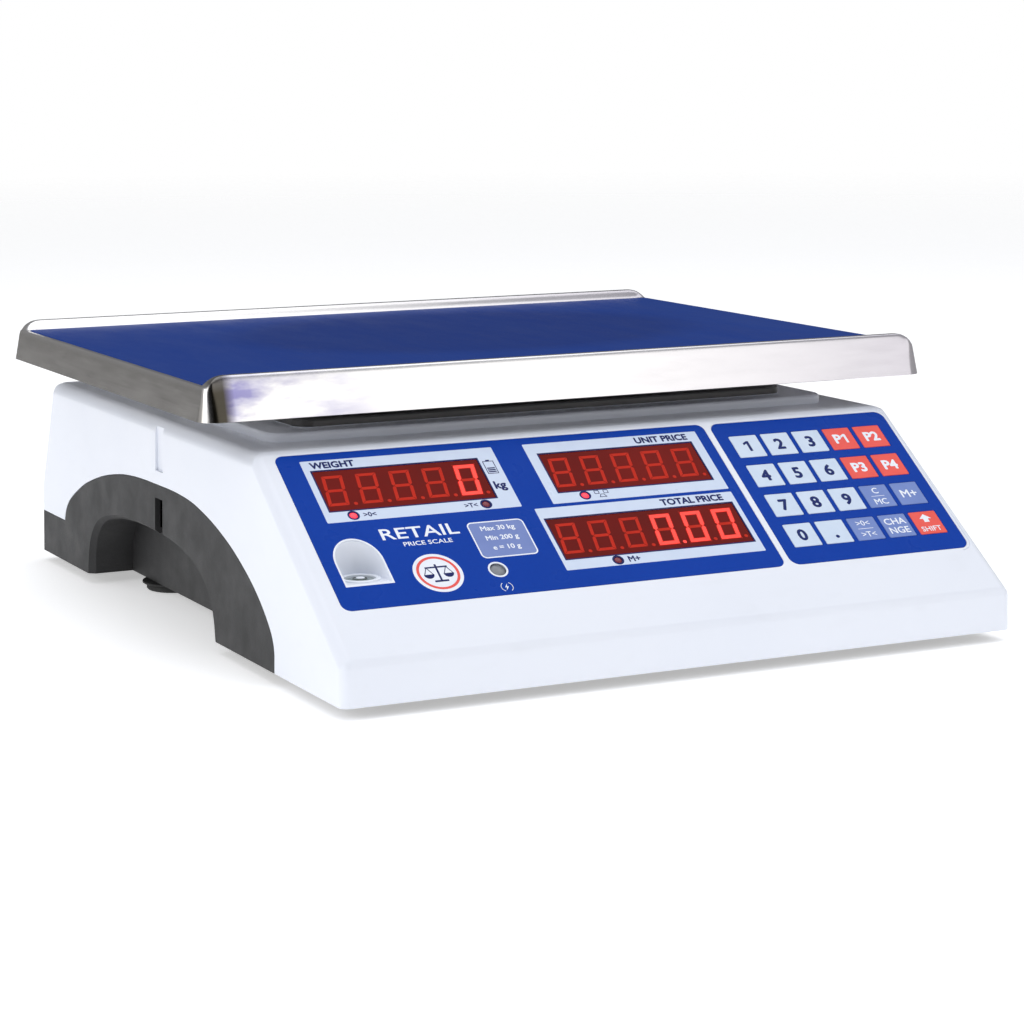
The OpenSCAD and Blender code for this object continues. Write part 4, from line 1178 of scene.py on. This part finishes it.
def carrier():
    low = box_mm("pan_carrier")[0]
    floor = 104.0
    arm = math.hypot(PAD_X, PAD_Y) - 8.6
    frame_arms = Solid()
    for turn in (math.atan2(PAD_Y, PAD_X), -math.atan2(PAD_Y, PAD_X)):
        at = Matrix.Translation((0, PAN_Y, 0)) @ Matrix.Rotation(turn, 4, "Z")
        outline = [(-arm, -9), (-60, -9), (-36, -12), (36, -12), (60, -9), (arm, -9),
                   (arm, 9), (60, 9), (36, 12), (-36, 12), (-60, 9), (-arm, 9)]
        levels(frame_arms, outline,
               [(floor, -0.4), (floor + 0.5, 0), (floor + 7.4, -0.3), (floor + 8, -0.9)], at)
        levels(frame_arms, rounded(-arm, -1.6, arm, 1.6, 0.4, 2),
               [(floor + 4, 0), (floor + 10.5, -0.15), (floor + 11, -0.5)], at)
    levels(frame_arms, rounded(36, PAN_Y - 15, 64, PAN_Y + 15, 2.5, 4),
           [(low.z, -0.3), (low.z + 0.3, 0), (106.5, 0)])
    for x, y in PADS:
        frame_arms.revolve([(0, floor + 0.1), (10.5, floor + 0.1), (11, floor + 0.6), (10.8, floor + 9.5),
                            (10.3, floor + 10), (8.3, floor + 10), (8, floor + 9.7), (8, floor + 7),
                            (0, floor + 7)], upright(x, y), 48)
    part(frame_arms, "carrier_arms", "carrier", CAST, ["pan_carrier"], 35)
    block = levels(Solid(), rounded(-40, PAN_Y - 26, 68, PAN_Y + 26, 10),
                   [(floor, -0.5), (floor + 0.5, 0), (floor + 8.4, 0), (floor + 9, -0.6)])
    holes = Solid()
    for x, y in CARRIER_BOLTS:
        holes.prism(circle(x, y, 5.4, 32), 107, 140)
    plate = cut(block.object("carrier_plate"), holes)
    part(plate, "carrier_plate", "carrier", CAST, ["pan_carrier"], 35)
    rest = box_mm("carrier_pads")[1].z - 0.02
    rubbers = Solid()
    for x, y in PADS:
        rubbers.revolve([(0, floor + 7), (7.9, floor + 7), (7.9, rest - 1.2), (7.2, rest - 0.3), (6.2, rest),
                         (2.6, rest), (2.2, rest - 0.9), (0, rest - 0.9)], upright(x, y), 48)
    part(rubbers, "carrier_rubbers", "carrier", RUBBER, ["carrier_pads"], 50)
    bolts, sockets = Solid(), Solid()
    for x, y in CARRIER_BOLTS:
        bolts.revolve([(0, 67), (3, 67.4), (3, 107), (5, 107), (5, 112), (4.6, 112.5), (2.9, 112.5),
                       (0, 112.5)], upright(x, y), BOLT_SEGMENTS)
        sockets.prism(circle(x, y, 2.9, 6), 109.5, 115)
    fasteners = cut(bolts.object("carrier_screws"), sockets)
    part(fasteners, "carrier_screws", "carrier", ZINC, ["carrier_bolts"])


carrier()

# ---------------------------------------------------------------- feet, underside, screws


def feet():
    for name, foot in FEET.items():
        profile = [(0, 0.5), (5.5, 0.5), (6, 0), (8.2, 0), (8.6, 0.5), (9.8, 0.5), (10.2, 0), (12.6, 0),
                   (13.4, 0.25), (14, 0.9), (14, 2.6), (13.6, 3.2), (15.5, 3.3), (16, 3.65), (16, 4.3),
                   (15.6, 4.6), (4, 4.6)]
        for k in range(10):
            z = 5.0 + 0.75 * k
            profile += [(3.95, z), (3.45, z + 0.37)]
        profile += [(3.9, 12.6), (3.5, 13), (0, 13)]
        turned = Solid().revolve(profile, upright(foot.x, foot.y))
        part(turned, "levelling_" + name, "foot_" + name, RUBBER, ["foot_" + name], 40)


feet()


def underside():
    cover = levels(Solid(), rounded(*battery_well(0.8), 1.4),
                   [(BOTTOM + 0.02, -0.35), (BOTTOM + 0.35, 0), (BOTTOM + 1.6, 0)])
    cover.prism(rounded(*battery_well(-2), 1.2), BOTTOM + 1.5, BOTTOM + 2.3)
    grooves = Solid()
    for i in range(6):
        grooves.prism(rounded(-20, 150 + i * 2.4, 20, 151.2 + i * 2.4, 0.55, 4), 0, BOTTOM + 0.6)
    grooves.prism(circle(0, 116, 3, 32), 0, BOTTOM + 0.8)
    plate = cut(cover.object("battery_door"), grooves)
    part(plate, "battery_door", "housing", DARK, ["battery_cover"])
    heads, cross = Solid(), Solid()
    for x, y in SCREWS:
        heads.revolve([(0, BOTTOM + 0.62), (2.5, BOTTOM + 0.62), (3.05, BOTTOM + 1.0), (3.2, BOTTOM + 1.6),
                       (3.2, BOTTOM + 3.2), (1.5, BOTTOM + 3.2), (1.5, BOTTOM + 16),
                       (0, BOTTOM + 17.1)], upright(x, y), BOLT_SEGMENTS)
        cross.box(x - 1.7, y - 0.4, 0, x + 1.7, y + 0.4, BOTTOM + 1.8)
        cross.box(x - 0.4, y - 1.7, 0, x + 0.4, y + 1.7, BOTTOM + 1.8)
    screws = cut(heads.object("housing_fasteners"), cross)
    part(screws, "housing_fasteners", "housing", ZINC, ["housing_screws"])


underside()

# ---------------------------------------------------------------- back: customer display, inlet, switch


def customer_display():
    plate = Solid().prism(rounded(-109.8, 6.2, 109.8, 47.8, 2.8), -0.5, 0, TO_REAR)
    holes = Solid()
    v0, v1 = REAR_V
    for x in REAR_X:
        holes.box(x - REAR_HALF, v0, -3, x + REAR_HALF, v1, 3, TO_REAR)
    blue = cut(plate.object("customer_print"), holes)
    part(blue, "customer_print", "housing", BLUE, ["rear_overlay"])
    pale, navy, lenses = Solid(), Solid(), Solid()
    for x, words in zip(REAR_X, ("WEIGHT", "UNIT PRICE", "TOTAL PRICE")):
        inner = rectangle(x - REAR_HALF, v0, x + REAR_HALF, v1)
        pale.ring(grown(inner, 1.7), grown(inner, 0.6), -0.1, 0.05, TO_REAR)
        navy.ring(grown(inner, 0.62), inner, -0.3, 0.07, TO_REAR)
        lettering(pale, words, x, 39.4, 3.6, 0.0, TO_REAR, bold=0.03)
        levels(lenses, rounded(x - REAR_HALF + 0.05, v0 + 0.05, x + REAR_HALF - 0.05, v1 - 0.05, 0.3, 3),
               [(-2, 0), (-0.2, 0), (-0.12, -0.08)], TO_REAR)
        places = [(x + (i - 1.62) * PITCH, 25) for i in range(4)]
        name = "customer_" + words.split()[0].lower()
        show_digits(name, TO_REAR, places, 16.4, 1 if x < 0 else 3 if x > 0 else 0, (1,) if x > 0 else ())
    lettering(pale, "kg", -45, 8.2, 3.2, 0.0, TO_REAR, bold=0.03)
    part(pale, "customer_lettering", "housing", INK_WHITE)
    part(navy, "customer_borders", "housing", NAVY)
    part(lenses, "customer_filters", "housing", RED, ["rear_windows"])


customer_display()


def sockets_and_switch():
    at = Matrix.Translation((96, HALF_D, SOCKET_Z)) @ Matrix.Rotation(math.pi / 2, 4, "X")
    barrel = [(0, 8.9), (2.9, 8.9), (2.9, 0.9), (3.4, 0.32), (5.5, 0.32), (5.9, 0.7), (5.9, 2.9),
              (6.8, 2.9), (6.8, 11.9), (5.9, 12.3), (0, 12.3)]
    part(Solid().revolve(barrel, at, 56), "inlet_barrel", "housing", BLACK, ["power_inlet"])
    pin = [(0, 1.4), (0.6, 1.45), (1, 1.9), (1, 9.2), (0, 9.2)]
    part(Solid().revolve(pin, at, 24), "inlet_pin", "housing", MACHINED, ["power_inlet"])
    outer, inner = rounded(-74.7, 9.3, -53.3, 22.3, 1.0, 4), rounded(-73.4, 10.6, -54.6, 21, 0.6, 4)
    bezel = Solid().ring(outer, inner, -13, -0.6, ON_BACK)
    bezel.ring(grown(outer, -0.05), grown(inner, 0.1), -0.6, -0.32, ON_BACK)
    bezel.prism(outer, -15.9, -12.9, ON_BACK)
    part(bezel, "switch_bezel", "housing", BLACK, ["switch_frame"])
    # rocker, pressed at its lower end; the outline is (inwards, up) about the pivot
    half, swing = 8.8, math.radians(8)

    def swung(a, b):
        return a * math.cos(swing) - b * math.sin(swing), a * math.sin(swing) + b * math.cos(swing)

    face = [(4.5, -4.35), (4.15, -2.4), (3.75, 0), (4.15, 2.4), (4.5, 4.35)]
    outline = [(-2.4, -3.2), (1.5, -4.4)] + [(a - 0.1, b) for a, b in face] + [(1.5, 4.4), (-2.4, 3.2)]
    place = Matrix.Translation((64, HALF_D - 5.5, SOCKET_Z)) @ ALONG_X
    blade = levels(Solid(), [swung(a, b) for a, b in outline],
                   [(-half, -0.35), (-half + 0.35, 0), (half - 0.35, 0), (half, -0.35)], place)
    part(blade, "rocker_blade", "rocker", BLACK, ["power_rocker"], 25)
    marks = Solid()
    for sign in (-1, 1):
        out, up = swung(3.92, sign * 2.3)
        tilt = swing + math.atan2(sign * 0.75, 4.35)
        # local frame on the rocker's face: x along the rocker, y up its face, z outwards
        on = place @ Matrix(((0, -math.sin(tilt), math.cos(tilt), out),
                             (0, math.cos(tilt), math.sin(tilt), up), (-1, 0, 0, 0), (0, 0, 0, 1)))
        if sign > 0:
            marks.box(-0.2, -1.1, 0.05, 0.2, 1.1, 0.14, on)
        else:
            marks.ring(circle(0, 0, 1.15, 32), circle(0, 0, 0.8, 32), 0.05, 0.14, on)
    part(marks, "rocker_marks", "rocker", INK_WHITE)


sockets_and_switch()

# ---------------------------------------------------------------- inner pieces keep the frame's meshes

INNER = {"weight_digits": BLACK, "unit_price_digits": BLACK, "total_price_digits": BLACK,
         "rear_digits": BLACK, "display_board": BOARD, "rear_board": BOARD, "main_board": BOARD,
         "keypad_membrane": GREY_LENS, "load_cell": MACHINED, "load_cell_pedestal": CAST,
         "load_cell_bolts": ZINC, "chassis_plate": ZINC, "overload_stop": ZINC,
         "power_supply": BLACK, "battery": BLACK}
for name, material in INNER.items():
    paint(frame["nodes"][name], material)


# ---------------------------------------------------------------- floor, light


def studio():
    bpy.ops.mesh.primitive_circle_add(vertices=128, radius=4.5, fill_type="NGON", location=(0, 0, -0.0002))
    floor = bpy.context.object
    floor.name = "floor"
    f = Finish("floor_paint", (0.92, 0.92, 0.92, 1), 0.7, Specular_IOR_Level=0.1)
    f.patches(0.4, 0.7, 0.4, (0.94, 0.94, 0.94, 1), 3, 2)
    f.emit((1, 1, 1, 1), 0.42)
    length = f.node("ShaderNodeVectorMath", operation="LENGTH")
    f.link(f.where(), length.inputs[0])
    f.link(f.spread(length.outputs["Value"], 1.2, 4.0, 1.0, 0.0), f.shader.inputs["Alpha"])
    floor.data.materials.append(f.material)

    world = bpy.data.worlds.new("studio")
    scene.world = world
    world.use_nodes = True
    tree = world.node_tree
    tree.nodes.clear()
    new, link = tree.nodes.new, tree.links.new
    out, plain, room = new("ShaderNodeOutputWorld"), new("ShaderNodeBackground"), new("ShaderNodeBackground")
    plain.inputs["Color"].default_value = (1, 1, 1, 1)
    plain.inputs["Strength"].default_value = 1.0
    where, parts = new("ShaderNodeTexCoord"), new("ShaderNodeSeparateXYZ")
    link(where.outputs["Generated"], parts.inputs["Vector"])
    turn = new("ShaderNodeMath")
    turn.operation = "ARCTAN2"
    link(parts.outputs["X"], turn.inputs[0])
    link(parts.outputs["Y"], turn.inputs[1])
    share = new("ShaderNodeMapRange")
    share.inputs["From Min"].default_value = -math.pi
    share.inputs["From Max"].default_value = math.pi
    link(turn.outputs["Value"], share.inputs["Value"])
    walls = new("ShaderNodeValToRGB")
    # compass of the room, clockwise from behind the viewer: 0.5 is straight ahead (+Y), 0.75 is +X
    stops = [(0.0, 0.06), (0.12, 0.06), (0.145, 1.0), (0.36, 1.0), (0.395, 0.5), (0.47, 0.46), (0.52, 0.34),
             (0.57, 0.2), (0.62, 0.34), (0.70, 0.85), (0.9, 1.08), (0.945, 1.0), (0.965, 0.06)]
    while len(walls.color_ramp.elements) < len(stops):
        walls.color_ramp.elements.new(0.5)
    for element, (place, value) in zip(walls.color_ramp.elements, stops):
        element.position, element.color = place, (value, value, value * 1.01, 1)
    link(share.outputs["Result"], walls.inputs["Fac"])
    up = new("ShaderNodeMapRange")
    up.inputs["From Min"].default_value, up.inputs["From Max"].default_value = 0.5, 0.85
    link(parts.outputs["Z"], up.inputs["Value"])
    mixed = new("ShaderNodeMix")
    mixed.data_type = "RGBA"
    link(up.outputs["Result"], mixed.inputs["Factor"])
    link(walls.outputs["Color"], mixed.inputs[6])
    mixed.inputs[7].default_value = (0.9, 0.93, 1.0, 1)
    link(mixed.outputs[2], room.inputs["Color"])
    room.inputs["Strength"].default_value = 0.62
    ray, choose = new("ShaderNodeLightPath"), new("ShaderNodeMixShader")
    link(ray.outputs["Is Camera Ray"], choose.inputs["Fac"])
    link(room.outputs[0], choose.inputs[1])
    link(plain.outputs[0], choose.inputs[2])
    link(choose.outputs[0], out.inputs["Surface"])

    def soft_box(name, place, target, width, depth, power, tint=(1, 1, 1)):
        data = bpy.data.lights.new(name, "AREA")
        data.shape, data.size, data.size_y = "RECTANGLE", width, depth
        data.energy, data.color = power, tint
        lamp = bpy.data.objects.new(name, data)
        scene.collection.objects.link(lamp)
        lamp.location = place
        lamp.rotation_mode = "QUATERNION"
        lamp.rotation_quaternion = (Vector(target) - Vector(place)).to_track_quat("-Z", "Y")

    soft_box("overhead", (0.1, -0.1, 1.7), (0, 0, 0), 2.2, 2.0, 15)
    soft_box("front", (1.0, -2.0, 0.9), (0, 0, 0.05), 1.6, 1.2, 6)
    soft_box("left", (-1.9, -0.3, 0.8), (0, 0, 0.05), 1.4, 1.0, 9)
    scene.view_settings.view_transform = "Standard"


studio()
